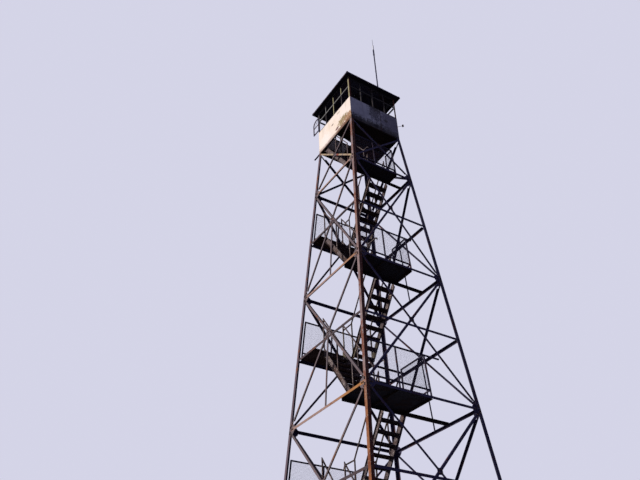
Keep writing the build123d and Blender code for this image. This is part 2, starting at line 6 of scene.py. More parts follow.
import logging
import math
import random
from contextlib import contextmanager
from dataclasses import dataclass, field
from enum import Enum
from typing import Any, Callable, Iterable, Iterator, Optional, Sequence, Union

import bpy
from mathutils import Matrix, Vector


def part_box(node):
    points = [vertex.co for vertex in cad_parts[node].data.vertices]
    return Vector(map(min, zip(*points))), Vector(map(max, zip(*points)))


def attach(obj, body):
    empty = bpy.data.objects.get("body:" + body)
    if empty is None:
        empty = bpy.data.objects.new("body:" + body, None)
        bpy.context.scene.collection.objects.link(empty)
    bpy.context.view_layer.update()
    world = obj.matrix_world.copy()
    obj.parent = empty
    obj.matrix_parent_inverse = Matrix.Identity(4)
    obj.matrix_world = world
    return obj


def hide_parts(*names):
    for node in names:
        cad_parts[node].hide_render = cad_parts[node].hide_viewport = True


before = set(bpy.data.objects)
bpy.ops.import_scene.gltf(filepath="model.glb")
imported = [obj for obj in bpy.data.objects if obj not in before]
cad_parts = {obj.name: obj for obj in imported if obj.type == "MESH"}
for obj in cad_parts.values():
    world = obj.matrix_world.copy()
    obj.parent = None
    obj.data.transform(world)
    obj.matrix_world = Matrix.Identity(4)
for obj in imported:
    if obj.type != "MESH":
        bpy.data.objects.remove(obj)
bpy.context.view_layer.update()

Color = tuple[float, float, float]
Point = tuple[float, float, float]
Rise = tuple[float, float]
Face = bpy.types.MeshPolygon
Material = bpy.types.Material

log = logging.getLogger("tower")
BODY = "root"
SIDES = ("front", "right", "back", "left")
FOOT = 0.3048
QUARTER = math.pi / 2
SEAT = 0.0003
NEAR = 1e-4
SQUARE_ON = 0.9


# Driving sizes
@dataclass(frozen=True)
class Plan:
    """The sizes of the steelwork that the dressing lines up with, in metres."""

    foot_z: float = 0.170
    half_panel: float = 7 * FOOT
    levels: int = 9
    base_half: float = 2.522
    cab_half: float = 1.067
    leg_w: float = 0.102
    leg_t: float = 0.010
    girt_w: float = 0.076
    brace_inset: float = 0.062
    brace_drop: float = 0.066
    deck_top: float = 0.044
    right_edge: float = 0.660
    left_edge: float = 0.800
    lane_gap: float = 0.120
    stair_overall: float = 0.740
    stair_y_top: float = -0.120
    stair_lean: float = 0.0415
    landing_margin: float = 0.060
    guard_h: float = 1.280
    guard_w: float = 0.036
    guard_gap: float = 0.001
    guard_inset: float = 0.086
    toe_rail_z: float = 0.190
    stair_w: float = 0.660
    stringer_t: float = 0.006
    tread_rise: float = 0.254
    least_step: float = 0.050
    floor_top: float = 0.063
    sill_h: float = 1.067
    post_w: float = 0.0646
    pier_h: float = 0.150

    @property
    def lean(self) -> float:
        """How far a leg leans inwards for each metre of height."""
        return (self.base_half - self.cab_half) / (self.levels * self.half_panel)

    @property
    def slant(self) -> float:
        """Length along the slope of a face for each metre of height."""
        return math.hypot(1.0, self.lean)

    @property
    def cab_z(self) -> float:
        """Height of the cab's floor level."""
        return self.foot_z + self.levels * self.half_panel

    def level(self, n: int) -> float:
        """Height of a half-panel level, counted down from the cab."""
        return self.cab_z - n * self.half_panel

    def half_width(self, z: float) -> float:
        """Half the width over the heels of the legs at a height."""
        return self.base_half - self.lean * (z - self.foot_z)

    def up_face(self, z: float) -> float:
        """Distance up the slope of a face for a height."""
        return (z - self.foot_z) * self.slant

    def stair_middle(self, n: int) -> float:
        """Y of the middle of the stair's two lanes at a level."""
        return self.stair_y_top - self.stair_lean * (n if n % 2 else n - 1) * self.half_panel

    def landing_end(self, n: int) -> float:
        """Y of the inner end of the landing at a level."""
        return self.stair_middle(n) + self.lane_gap / 2 + self.stair_overall + self.landing_margin

    def lane(self, n: int) -> float:
        """Y of the middle of the flight that climbs from a level."""
        out = (self.lane_gap + self.stair_overall) / 2
        return self.stair_middle(n) - out if n % 2 else self.stair_middle(n) + out

    def face(self, side: int) -> Matrix:
        """The drawing plane of a face: x along it, y up its slope, z outwards.

        Args:
            side: 0 front, 1 right, 2 back, 3 left.

        Returns:
            The matrix from that plane to the model's frame.
        """
        along = Vector((1.0, 0.0, 0.0))
        out = Vector((0.0, -1.0, self.lean)).normalized()
        axes = Matrix((along, out.cross(along), out)).transposed().to_4x4()
        return turn(side * QUARTER) @ at(0.0, -self.base_half, self.foot_z) @ axes


def at(x: float, y: float, z: float) -> Matrix:
    """A move to a place."""
    return Matrix.Translation((x, y, z))


def turn(angle: float, axis: str = "Z") -> Matrix:
    """A turn about an axis through the origin, in radians."""
    return Matrix.Rotation(angle, 4, axis)


def between(start: Vector, end: Vector) -> Matrix:
    """The place of an upright rod that is to run from one point to another."""
    return Matrix.Translation(start) @ (end - start).to_track_quat("Z", "Y").to_matrix().to_4x4()


def upward(face: Face) -> bool:
    """Whether a face looks up."""
    return face.normal.z > SQUARE_ON


def flat(face: Face) -> bool:
    """Whether a face looks to the front or the back."""
    return abs(face.normal.y) > SQUARE_ON


PLAN = Plan()
SILL_Z = PLAN.cab_z + PLAN.sill_h


# Hand tools
class Part:
    """A mesh on the bench, worked with operators as by hand."""

    def __init__(self, obj: bpy.types.Object) -> None:
        """Take an object in hand."""
        self.obj = obj

    @staticmethod
    def clear() -> None:
        """Leave edit mode and deselect every object."""
        if bpy.context.object and bpy.context.object.mode != "OBJECT":
            bpy.ops.object.mode_set(mode="OBJECT")
        bpy.ops.object.select_all(action="DESELECT")

    @classmethod
    def block(cls, low: Point, high: Point) -> "Part":
        """Add a block, its place in its mesh.

        Args:
            low: Its lowest corner.
            high: Its highest corner.

        Returns:
            The block, its object at the origin.
        """
        cls.clear()
        middle = [(a + b) / 2 for a, b in zip(low, high)]
        bpy.ops.mesh.primitive_cube_add(size=1.0, location=middle)
        bpy.context.object.scale = [b - a for a, b in zip(low, high)]
        bpy.ops.object.transform_apply(location=True, rotation=True, scale=True)
        return cls(bpy.context.object)

    @classmethod
    def rod(cls, radius: float, depth: float, sides: int = 20) -> "Part":
        """Add an upright rod.

        Args:
            radius: Its radius.
            depth: Its height.
            sides: How many flats stand for its round.

        Returns:
            The rod, standing on the origin.
        """
        cls.clear()
        middle = (0.0, 0.0, depth / 2)
        bpy.ops.mesh.primitive_cylinder_add(vertices=sides, radius=radius, depth=depth, location=middle)
        bpy.ops.object.transform_apply(location=True, rotation=True, scale=True)
        return cls(bpy.context.object)

    @classmethod
    def strand(cls, radius: float, length: float, bow: float, sides: int) -> "Part":
        """Add a thin upright rod whose middle stands off its line.

        Args:
            radius: Its radius.
            length: Its length.
            bow: How far its middle stands off, along Y.
            sides: How many flats stand for its round.

        Returns:
            The strand, standing on the origin.
        """
        rod = cls.rod(radius, length / 2, sides)
        with rod.edit():
            rod.faces(upward)
            bpy.ops.transform.translate(value=(0.0, bow, 0.0))
            bpy.ops.mesh.extrude_region_move(TRANSFORM_OT_translate={"value": (0.0, -bow, length / 2)})
        return rod

    @staticmethod
    def join(parts: Sequence["Part"]) -> "Part":
        """Join parts into the first of them.

        Args:
            parts: What is joined.

        Returns:
            The first of them, with the others in it.
        """
        Part.clear()
        for part in parts:
            part.obj.select_set(True)
        bpy.context.view_layer.objects.active = parts[0].obj
        if len(parts) > 1:
            bpy.ops.object.join()
        return parts[0]

    def take(self) -> None:
        """Select the part alone and make it the active one."""
        self.clear()
        self.obj.select_set(True)
        bpy.context.view_layer.objects.active = self.obj

    @contextmanager
    def edit(self, mode: str = "FACE") -> Iterator[None]:
        """Open the part in edit mode with nothing selected, and close it again.

        Args:
            mode: What is selected there: FACE, EDGE or VERT.

        Returns:
            The context to work in.
        """
        self.take()
        bpy.ops.object.mode_set(mode="EDIT")
        bpy.ops.mesh.select_mode(type=mode)
        bpy.ops.mesh.select_all(action="DESELECT")
        yield
        bpy.ops.object.mode_set(mode="OBJECT")

    def pick(self, kind: str, test: Callable[[Any], bool]) -> None:
        """Select what passes a test, from inside edit mode.

        Args:
            kind: The mesh's own word for its faces, edges or points.
            test: Says whether one of them is selected.
        """
        bpy.ops.object.mode_set(mode="OBJECT")
        for item in getattr(self.obj.data, kind):
            item.select = test(item)
        bpy.ops.object.mode_set(mode="EDIT")

    def faces(self, test: Callable[[Face], bool]) -> None:
        """Select the faces that pass a test."""
        self.pick("polygons", test)

    def edges(self, test: Callable[[Vector, Vector], bool]) -> None:
        """Select the edges whose two ends pass a test."""
        self.pick("edges", lambda edge: test(*(self.obj.data.vertices[i].co for i in edge.vertices)))

    def points(self, test: Callable[[Vector], bool]) -> None:
        """Select the points that pass a test."""
        self.pick("vertices", lambda point: test(point.co))

    def taper(self, part: float) -> "Part":
        """Resize the top face about the axis.

        Args:
            part: The face's new size, as a part of the old one.

        Returns:
            The same part.
        """
        with self.edit():
            self.faces(upward)
            self.resize(part)
        return self

    def draw(self, *steps: Rise) -> "Part":
        """Draw the top face up, step by step.

        Args:
            steps: The rise of each step, and the face's size about the axis after it.

        Returns:
            The same part.
        """
        with self.edit():
            self.faces(upward)
            for rise, part in steps:
                bpy.ops.mesh.extrude_region_move(TRANSFORM_OT_translate={"value": (0.0, 0.0, rise)})
                self.resize(part)
        return self

    @staticmethod
    def resize(part: float, middle: Point = (0.0, 0.0, 0.0)) -> None:
        """Resize what is selected about an upright axis."""
        bpy.ops.transform.resize(value=(part, part, 1.0), center_override=middle)

    def ease(self, width: float) -> "Part":
        """Bevel every edge.

        Args:
            width: How wide the bevel is.

        Returns:
            The same part.
        """
        with self.edit("EDGE"):
            bpy.ops.mesh.select_all(action="SELECT")
            bpy.ops.mesh.bevel(offset=width, segments=1, affect="EDGES")
        return self

    def cut(self, point: Point, normal: Point) -> "Part":
        """Cut the part at a plane and close it, without what lies beyond the plane.

        Args:
            point: A point of the plane.
            normal: Which way the plane faces.

        Returns:
            The same part.
        """
        with self.edit("EDGE"):
            bpy.ops.mesh.select_all(action="SELECT")
            bpy.ops.mesh.bisect(plane_co=point, plane_no=normal, clear_outer=True, use_fill=True)
        return self

    def modify(self, kind: str, **settings: object) -> "Part":
        """Add a modifier and apply it.

        Args:
            kind: The modifier's type.
            settings: Its own properties.

        Returns:
            The same part.
        """
        self.take()
        extra = self.obj.modifiers.new(kind.lower(), kind)
        for key, value in settings.items():
            setattr(extra, key, value)
        bpy.ops.object.modifier_apply(modifier=extra.name)
        return self

    def repeat(self, count: int, step: Point) -> "Part":
        """Repeat the part in a row."""
        return self.modify("ARRAY", count=count, use_relative_offset=False, use_constant_offset=True,
                           constant_offset_displace=step)

    def copies(self, places: Iterable[Matrix]) -> "Part":
        """Set a copy of the part at each place, and take the part itself away.

        Args:
            places: Where each copy goes.

        Returns:
            The copies, joined.
        """
        made = []
        for place in places:
            mesh = self.obj.data.copy()
            mesh.transform(place)
            made.append(Part(bpy.data.objects.new("copy", mesh)))
            bpy.context.scene.collection.objects.link(made[-1].obj)
        bpy.data.objects.remove(self.obj)
        return Part.join(made)

    def move(self, place: Matrix) -> "Part":
        """Move the part's mesh."""
        self.obj.data.transform(place)
        return self

    def paint(self, finish: "Finish") -> "Part":
        """Give the part one finish.

        Args:
            finish: What it is painted with.

        Returns:
            The same part.
        """
        self.obj.data.materials.clear()
        self.obj.data.materials.append(finish.material())
        return self

    def settle(self, name: str, slot: str, replaces: Optional[str] = None) -> None:
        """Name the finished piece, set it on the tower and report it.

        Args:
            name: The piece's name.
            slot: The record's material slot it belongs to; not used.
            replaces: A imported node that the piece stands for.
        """
        piece = self.obj
        piece.name = name
        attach(piece, BODY)
        if replaces:
            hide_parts(replaces)
        log.info("%s: %d triangles", piece.name, sum(len(p.vertices) - 2 for p in piece.data.polygons))


# Node trees
class Value:
    """A number, a vector or a colour in a node tree. Numbers add, subtract and multiply."""

    def __init__(self, graph: "Graph", socket: bpy.types.NodeSocket) -> None:
        """Hold a socket of a graph."""
        self.graph = graph
        self.socket = socket

    def __add__(self, other: "Number") -> "Value":
        """The sum."""
        return self.graph.math("ADD", self, other)

    def __sub__(self, other: "Number") -> "Value":
        """The difference."""
        return self.graph.math("SUBTRACT", self, other)

    def __rsub__(self, other: float) -> "Value":
        """A plain number less this one."""
        return self.graph.math("SUBTRACT", other, self)

    def __mul__(self, other: "Number") -> "Value":
        """The product."""
        return self.graph.math("MULTIPLY", self, other)

    def most(self, other: "Number") -> "Value":
        """The greater of two."""
        return self.graph.math("MAXIMUM", self, other)

    def ramp(self, low: float, high: float) -> "Value":
        """A soft step from nought at low to one at high."""
        feeds = {"Value": self, "From Min": low, "From Max": high}
        return self.graph.get("MapRange", "Result", feeds, interpolation_type="SMOOTHSTEP")


Number = Union[Value, float]
Key = Union[int, str]


class Graph:
    """A short way to write a node tree."""

    def __init__(self, tree: bpy.types.NodeTree) -> None:
        """Work on a tree that is there already."""
        self.tree = tree

    def feed(self, node: bpy.types.Node, key: Key, value: Any) -> None:
        """Link a value to an input of a node, or write a plain value there.

        Args:
            node: The node.
            key: The input's name or number.
            value: What it gets.
        """
        socket = node.inputs[key]
        if isinstance(value, Value):
            self.tree.links.new(value.socket, socket)
        else:
            socket.default_value = (*value, 1.0) if socket.type == "RGBA" else value

    def add(self, kind: str, feeds: Optional[dict] = None, **settings: Any) -> bpy.types.Node:
        """Add a node.

        Args:
            kind: Its type without the ShaderNode prefix.
            feeds: What its inputs get.
            settings: Its own properties.

        Returns:
            The node.
        """
        node = self.tree.nodes.new("ShaderNode" + kind)
        for key, value in settings.items():
            setattr(node, key, value)
        for key, value in (feeds or {}).items():
            self.feed(node, key, value)
        return node

    def get(self, kind: str, output: Key, feeds: Optional[dict] = None, **settings: Any) -> Value:
        """Add a node and take one of its outputs."""
        return Value(self, self.add(kind, feeds, **settings).outputs[output])

    def parts(self, kind: str, feeds: Optional[dict] = None, **settings: Any) -> dict[str, Value]:
        """Add a node and take its outputs by their names."""
        return {socket.name: Value(self, socket) for socket in self.add(kind, feeds, **settings).outputs}

    def math(self, kind: str, a: Number, b: Number = 0.0) -> Value:
        """A sum, product or like of two numbers."""
        return self.get("Math", 0, {0: a, 1: b}, operation=kind)

    def shift(self, kind: str, a: Value, b: Point) -> Value:
        """A vector worked on by a plain one."""
        return self.get("VectorMath", 0, {0: a, 1: b}, operation=kind)

    def mix(self, part: Number, a: Union[Value, Color], b: Union[Value, Color]) -> Value:
        """A blend of two colours."""
        return self.get("Mix", 2, {0: part, 6: a, 7: b}, data_type="RGBA")

    def place(self, scale: Point = (1.0, 1.0, 1.0), shift: Point = (0.0, 0.0, 0.0)) -> Value:
        """Object coordinates, stretched and shifted."""
        spot = self.get("TexCoord", "Object")
        return self.get("Mapping", 0, {"Vector": spot, "Location": shift, "Scale": scale})

    def axis(self, number: int) -> Value:
        """One of the three object coordinates."""
        return self.get("SeparateXYZ", number, {0: self.place()})

    def noise(self, fine: float, detail: float = 4.0, rough: float = 0.55, **place: Point) -> Value:
        """A noise from nought to one, on stretched and shifted coordinates."""
        feeds = {"Vector": self.place(**place), "Scale": fine, "Detail": detail, "Roughness": rough}
        return self.get("TexNoise", 0, feeds)

    def stain(self, color: Value, stains: Sequence["Stain"]) -> Value:
        """Lay stains with ragged, broken edges over a colour.

        Args:
            color: The colour under them.
            stains: The stains, the lowest first.

        Returns:
            The colour with its stains.
        """
        if not stains:
            return color
        ragged = self.noise(11.0, 8.0, 0.75)
        broken = self.noise(24.0, 6.0, 0.7, shift=(1.0, 4.0, 6.0)).ramp(0.36, 0.50) * 0.6 + 0.4
        for stain in stains:
            offset = self.shift("MULTIPLY", self.shift("SUBTRACT", self.place(), stain.spot), stain.stretch)
            away = self.get("VectorMath", "Value", {0: offset}, operation="LENGTH")
            away = away + ragged * (stain.radius * 2.8)
            part = away.ramp(stain.radius * 2.7, stain.radius * 2.0) * broken.most(stain.solid)
            color = self.mix(part * stain.strength, color, stain.color)
        return color


class Effect(Graph):
    """A shader node group that several finishes share."""

    def __init__(self, name: str, **inputs: float) -> None:
        """Start a group with its inputs and their first values.

        Args:
            name: The group's name.
            inputs: Each input and its first value.
        """
        super().__init__(bpy.data.node_groups.new(name, "ShaderNodeTree"))
        for key, value in inputs.items():
            self.socket(key, "INPUT").default_value = value
        source = self.tree.nodes.new("NodeGroupInput")
        self.given = {key: Value(self, source.outputs[key]) for key in inputs}

    def socket(self, name: str, way: str) -> bpy.types.NodeTreeInterfaceSocket:
        """Add a socket to the group's face."""
        return self.tree.interface.new_socket(name=name, in_out=way, socket_type="NodeSocketFloat")

    def close(self, **results: Value) -> bpy.types.NodeTree:
        """Hand out the group's results.

        Args:
            results: Each output's name and value.

        Returns:
            The finished group.
        """
        for key in results:
            self.socket(key, "OUTPUT")
        target = self.tree.nodes.new("NodeGroupOutput")
        for key, value in results.items():
            self.feed(target, key, value)
        return self.tree


def rusting() -> bpy.types.NodeTree:
    """Where rust shows: broad patches, streaks down from them and fine pits.

    Returns:
        The group, with its outputs Patch, Streak and Pits.
    """
    effect = Effect("rusting", Cover=0.5, Streaks=0.5)
    broad = effect.noise(1.6, 5.0, 0.6)
    small = effect.noise(9.0, 6.0, 0.65, shift=(3.0, 1.0, 7.0))
    edge = 0.72 - effect.given["Cover"] * 0.44
    lines = effect.noise(1.0, 5.0, 0.6, scale=(14.0, 14.0, 0.7))
    return effect.close(Patch=(broad * 0.6 + small * 0.4 - edge).ramp(-0.04, 0.05),
                        Streak=lines.ramp(0.48, 0.68) * effect.given["Streaks"],
                        Pits=effect.noise(60.0, 3.0, 0.7))


def facing() -> bpy.types.NodeTree:
    """How far a surface faces the front, the right and down.

    Returns:
        The group, with its outputs Front, Right and Down.
    """
    effect = Effect("facing")
    x, y, z = effect.parts("SeparateXYZ", {0: effect.get("NewGeometry", "Normal")}).values()
    return effect.close(Front=(y * -1.0).ramp(0.25, 0.75), Right=x.ramp(0.25, 0.75),
                        Down=(z * -1.0).ramp(0.25, 0.75))


RUSTING = rusting()
# Its masks carry painted light: sunlight on front faces, and shade on right faces and undersides.
FACING = facing()


class Coat(Graph):
    """The node tree of a material, round its Principled shader."""

    def __init__(self, name: str) -> None:
        """Start a material.

        Args:
            name: The material's name.
        """
        self.material = bpy.data.materials.new(name)
        self.material.use_nodes = True
        super().__init__(self.material.node_tree)
        self.shader = self.tree.nodes["Principled BSDF"]

    def effect(self, tree: bpy.types.NodeTree, **values: float) -> dict[str, Value]:
        """Place a shared effect with its own values."""
        return self.parts("Group", values, node_tree=tree)

    def close(self, color: Value, roughness: Number, relief: Optional[Value] = None,
              depth: float = 0.0, specular: float = 0.5) -> Material:
        """Feed the shader.

        Args:
            color: Its base colour.
            roughness: Its roughness.
            relief: The height that its normal follows.
            depth: How many metres of relief a height of one is.
            specular: Its specular level.

        Returns:
            The finished material.
        """
        self.feed(self.shader, "Base Color", color)
        self.feed(self.shader, "Roughness", roughness)
        self.feed(self.shader, "Specular IOR Level", specular)
        if relief:
            bump = self.get("Bump", 0, {"Height": relief, "Distance": depth})
            self.feed(self.shader, "Normal", bump)
        return self.material


def darker(color: Color, part: float) -> Color:
    """A part of a colour."""
    return tuple(c * part for c in color)


# Finishes
@dataclass(frozen=True)
class Stain:
    """A stain with a ragged edge at a place on the tower."""

    spot: Point
    radius: float
    color: Color
    strength: float = 0.9
    stretch: Point = (1.0, 1.0, 1.0)
    solid: float = 0.0


@dataclass(frozen=True)
class RustedSteel:
    """Old painted steel: dark in painted shade, pale on the front as sun-faded paint with painted sunlight,
    a painted shade colour of its own on faces turned to the right, and rusting in patches.
    """

    name: str
    # The shade colour is painted shade. The front colour after it is sun-faded paint with painted sunlight.
    # The right colour is painted shade on faces turned to the right.
    shade: Color
    bleached_and_sunlit: Color
    right: Color
    rust: Color
    fresh_rust: Color
    ochre: Color
    cover: float
    streaks: float = 0.3
    roughness: float = 0.75
    relief: float = 0.0015
    ochre_from: float = 0.50
    speckle: Optional[Color] = None
    speckled: float = 0.8
    lugs: float = 0.0
    girt: Optional[Color] = None
    near_girt: Color = (0.50, 0.22, 0.07)
    dull_girt: Color = (0.075, 0.055, 0.062)
    # The left_shade colour is painted shade for the -X side, lighter than the shade on the +X side.
    left_shade: Optional[Color] = None
    stains: tuple[Stain, ...] = ()

    def make(self) -> Material:
        """Build the material.

        Returns:
            The finished material.
        """
        coat = Coat(self.name)
        rust = coat.effect(RUSTING, Cover=self.cover, Streaks=self.streaks)
        facing = coat.effect(FACING)
        shade = self.shade
        # Painted shade: towards -X the shade colour gives way to a lighter one, so the +X side stays
        # darkest.
        if self.left_shade:
            shade = coat.mix(coat.axis(0).ramp(0.4, -0.3), self.shade, self.left_shade)
        # Painted light by facing: right-facing faces take their painted shade colour, and front faces take
        # the sun-faded colour with painted sunlight.
        paint = coat.mix(facing["Right"], shade, self.right)
        paint = coat.mix(facing["Front"], paint, self.bleached_and_sunlit_front(coat))
        paint = coat.mix(coat.noise(3.0) * 0.5, paint, darker(self.shade, 0.5))
        iron = coat.mix(rust["Pits"].ramp(0.35, 0.7), self.rust, self.fresh_rust)
        worn = rust["Patch"].most(rust["Streak"] * 0.8)
        # Painted sunlight on the rust: its patches show more strongly on the front faces than elsewhere.
        color = coat.mix(worn * (facing["Front"] * 0.5 + 0.35), paint, iron)
        if self.speckle:
            # Pale speckles laid all round over the colour.
            pale_speckles = coat.noise(26.0, 3.0, 0.6, shift=(5.0, 9.0, 2.0)).ramp(0.60, 0.66)
            color = coat.mix(pale_speckles * self.speckled, color, self.speckle)
        relief = rust["Pits"] * 0.4 + worn
        if self.lugs:
            relief = relief + self.tread_plate(coat) * self.lugs
        return coat.close(coat.stain(color, self.stains), worn * 0.18 + self.roughness, relief,
                          self.relief, 0.10)

    def bleached_and_sunlit_front(self, coat: Coat) -> Value:
        """The colour of the front faces: sun-faded paint with painted sunlight, with ochre runs low down and
        the girts in their own paint.

        Args:
            coat: The material's tree.

        Returns:
            The colour.
        """
        height = coat.axis(2)
        low = height.ramp(PLAN.cab_z - 1.0, PLAN.level(5))
        runs = coat.noise(1.0, 3.0, scale=(0.5, 0.5, 0.16), shift=(4.0, 2.0, 0.6))
        runs = runs.ramp(self.ochre_from, self.ochre_from + 0.12)
        pale = coat.mix(runs * low, self.bleached_and_sunlit, self.ochre)
        if self.girt:
            near = coat.mix(coat.axis(0).ramp(0.0, 1.1) * low, self.girt, self.near_girt)
            pale = coat.mix(self.girt_rows(coat, height, 1), pale, self.dull_girt)
            pale = coat.mix(self.girt_rows(coat, height, 0), pale, near)
        return pale

    def girt_rows(self, coat: Coat, height: Value, first: int) -> Value:
        """One on every second row of horizontal members, counted up from the feet.

        Args:
            coat: The material's tree.
            height: The height of the spot.
            first: The lowest row, 0 or 1.

        Returns:
            One on the rows and nought off them.
        """
        steps = coat.math("DIVIDE", height - (PLAN.foot_z + first * PLAN.half_panel), 2 * PLAN.half_panel)
        off = coat.math("ABSOLUTE", steps - coat.math("ROUND", steps))
        edge = PLAN.girt_w * 0.275 / PLAN.half_panel
        return off.ramp(edge * 1.15, edge)

    def tread_plate(self, coat: Coat) -> Value:
        """The raised lugs of a rolled tread plate, crossed from one to the next.

        Args:
            coat: The material's tree.

        Returns:
            One on the lugs and nought between them.
        """
        x, y, _ = coat.parts("SeparateXYZ", {0: coat.place((105.0, 105.0, 105.0))}).values()
        rows = coat.math("SINE", x + y) * coat.math("SINE", (x - y) * 0.33)
        return rows.ramp(0.45, 0.7)


@dataclass(frozen=True)
class PeelingPaint:
    """Sheet metal with pale paint that flakes to rusty metal, worst low down."""

    name: str
    paint: Color
    tint: Color
    bare: Color
    rust: Color
    peel: float
    roughness: float
    edge_part: float
    stains: tuple[Stain, ...] = ()

    def make(self) -> Material:
        """Build the material.

        Returns:
            The finished material.
        """
        coat = Coat(self.name)
        flakes = coat.noise(7.0, 8.0, 0.7)
        broad = coat.noise(1.3, 3.0, shift=(2.0, 5.0, 1.0))
        height = coat.axis(2)
        low = height.ramp(PLAN.cab_z + 0.75 * (SILL_Z - PLAN.cab_z), PLAN.cab_z)
        worn = flakes * 0.55 + broad * 0.45 + low * 0.13
        peeled = 0.78 - 0.3 * self.peel
        bare = worn.ramp(peeled, peeled + 0.025)
        runs = coat.noise(1.0, scale=(9.0, 9.0, 0.8)).ramp(0.5, 0.8)
        color = coat.mix(broad.ramp(0.35, 0.65), self.paint, self.tint)
        color = coat.mix(runs * 0.45, color, self.bare)
        color = coat.mix(bare, color, self.bare)
        color = coat.mix(worn.ramp(peeled + 0.05, peeled + 0.11), color, self.rust)
        edge = (height + flakes * -0.16).ramp(PLAN.cab_z + 0.05, PLAN.cab_z - 0.03)
        color = coat.mix(edge * self.edge_part, color, self.rust)
        return coat.close(coat.stain(color, self.stains), bare * 0.25 + self.roughness,
                          flakes * 0.25 - bare, 0.0012, 0.12)


@dataclass(frozen=True)
class OldBoards:
    """Bare grey boards with grain along X, darker underneath: a stain with painted shade, darkest towards
    +X.
    """

    name: str
    light: Color
    dark: Color
    under: Color
    under_right_painted_shade: Color

    def make(self) -> Material:
        """Build the material.

        Returns:
            The finished material.
        """
        coat = Coat(self.name)
        grain = coat.noise(2.4, 7.0, 0.65, scale=(1.2, 26.0, 26.0))
        color = coat.mix(grain.ramp(0.3, 0.7), self.dark, self.light)
        color = coat.mix(coat.noise(2.2, 3.0) * 0.6, color, darker(self.dark, 0.5))
        # The underside: a dark stain with painted shade, near black towards +X.
        underside_stain_and_shade = coat.mix(coat.axis(0).ramp(-0.1, 0.4), self.under, self.under_right_painted_shade)
        underside_stain_and_shade = coat.mix(grain * 0.5, underside_stain_and_shade, darker(self.under, 0.4))
        color = coat.mix(coat.effect(FACING)["Down"], color, underside_stain_and_shade)
        return coat.close(color, 0.88, grain, 0.0015, 0.05)


@dataclass(frozen=True)
class CastConcrete:
    """Rough concrete, darker towards the ground."""

    name: str
    light: Color
    dark: Color

    def make(self) -> Material:
        """Build the material.

        Returns:
            The finished material.
        """
        coat = Coat(self.name)
        coarse = coat.noise(6.0, 6.0, 0.65)
        damp = (coat.axis(2) + coarse * 0.06).ramp(0.09, 0.03)
        color = coat.mix(coarse.ramp(0.3, 0.7), self.dark, self.light)
        color = coat.mix(damp * 0.6, color, darker(self.dark, 0.4))
        return coat.close(color, 0.93, coarse + coat.noise(90.0, 3.0, 0.7) * 0.3, 0.004)


@dataclass(frozen=True)
class PlainSheen:
    """A dull smooth finish with faint dirt, for pipe, plastic and glaze."""

    name: str
    color: Color
    dirt: Color
    roughness: float
    dirt_part: float = 0.4
    shine: float = 0.10

    def make(self) -> Material:
        """Build the material.

        Returns:
            The finished material.
        """
        coat = Coat(self.name)
        spots = coat.noise(14.0, 6.0, 0.65)
        streaks = coat.noise(1.0, scale=(22.0, 22.0, 1.2))
        dirty = spots.most(streaks).ramp(0.45, 0.75) * self.dirt_part
        color = coat.mix(dirty, self.color, self.dirt)
        return coat.close(color, dirty * 0.5 + self.roughness, spots, 0.0006, self.shine)


def on_front(x: float, up: float, *rest: Any, **more: Any) -> Stain:
    """A stain on the cab's front wall, by its X and its height over the floor level."""
    return Stain((x, -PLAN.cab_half, PLAN.cab_z + up), *rest, **more)


def on_right(y: float, up: float, *rest: Any) -> Stain:
    """A stain on the cab's right wall, by its Y and its height over the floor level."""
    return Stain((PLAN.cab_half, y, PLAN.cab_z + up), *rest)


RUST: Color = (0.150, 0.052, 0.024)
FRESH_RUST: Color = (0.330, 0.125, 0.048)
# The dark blue that stands for steel in painted shade.
NAVY_PAINTED_SHADE: Color = (0.034, 0.031, 0.086)
DARK_RED: Color = (0.075, 0.022, 0.020)
BLACK: Color = (0.007, 0.006, 0.012)
ROOF_NAVY: Color = (0.024, 0.023, 0.050)
SEAM_SHADE: Color = (0.030, 0.026, 0.040)
ARM_BROWN: Color = (0.060, 0.026, 0.018)

# Cream, olive, tan, a brown edge, a red spot and two small marks
FRONT_STAINS = (on_front(-0.70, 0.35, 0.30, (0.93, 0.84, 0.80), 0.8),
                on_front(0.56, 0.30, 0.20, (0.25, 0.17, 0.055), 1.0, (0.62, 1.0, 0.95)),
                on_front(0.93, 0.16, 0.20, (0.33, 0.17, 0.08), 1.0, (0.55, 1.0, 1.0)),
                on_front(0.62, 0.01, 0.13, (0.16, 0.07, 0.035), 1.0, (0.22, 1.0, 1.2)),
                on_front(0.16, 0.20, 0.065, (0.11, 0.020, 0.022), 1.0, (0.7, 1.0, 1.0)),
                on_front(-0.12, 0.66, 0.045, (0.22, 0.16, 0.13), 0.9, (0.6, 1.0, 1.0)),
                on_front(0.30, 0.92, 0.050, (0.30, 0.22, 0.16), 0.8, (0.5, 1.0, 1.0)))
# A shaded back half, a scuff, smoke and smuts under the windows, and soot along the foot
RIGHT_STAINS = (on_right(0.85, 0.50, 0.66, (0.115, 0.105, 0.160), 0.9, (1.0, 1.0, 0.5), 0.7),
                on_right(0.53, 0.64, 0.085, (0.028, 0.026, 0.038), 1.0),
                on_right(0.0, 0.82, 0.26, (0.060, 0.055, 0.085), 0.95, (1.0, 1.0, 0.5)),
                on_right(0.06, 1.05, 0.15, (0.018, 0.016, 0.026), 1.0, (1.0, 0.6, 1.0)),
                on_right(0.0, -0.06, 0.34, (0.022, 0.020, 0.032), 1.0, (1.0, 0.22, 1.0), 0.8))
# Old beige paint left along the front's top diagonal, with a red drip
BRACE_STAINS = (*(Stain((2.10 * t - 0.97, -PLAN.half_width(PLAN.cab_z - 1.9 * t),
                         PLAN.cab_z - 0.10 - 1.90 * t), 0.17, (0.44, 0.33, 0.21), 0.85)
                  for t in (0.02, 0.14, 0.26, 0.38, 0.66, 0.80, 0.94)),
                Stain((0.22, -PLAN.half_width(18.3), 18.18), 0.09, (0.24, 0.05, 0.03), 0.9, solid=1.0))
DARK_POST = on_front(-PLAN.cab_half, 0.95, 0.50, (0.018, 0.015, 0.028), 1.0, (1.0, 1.0, 0.28), 1.0)

MADE: dict[str, Material] = {}


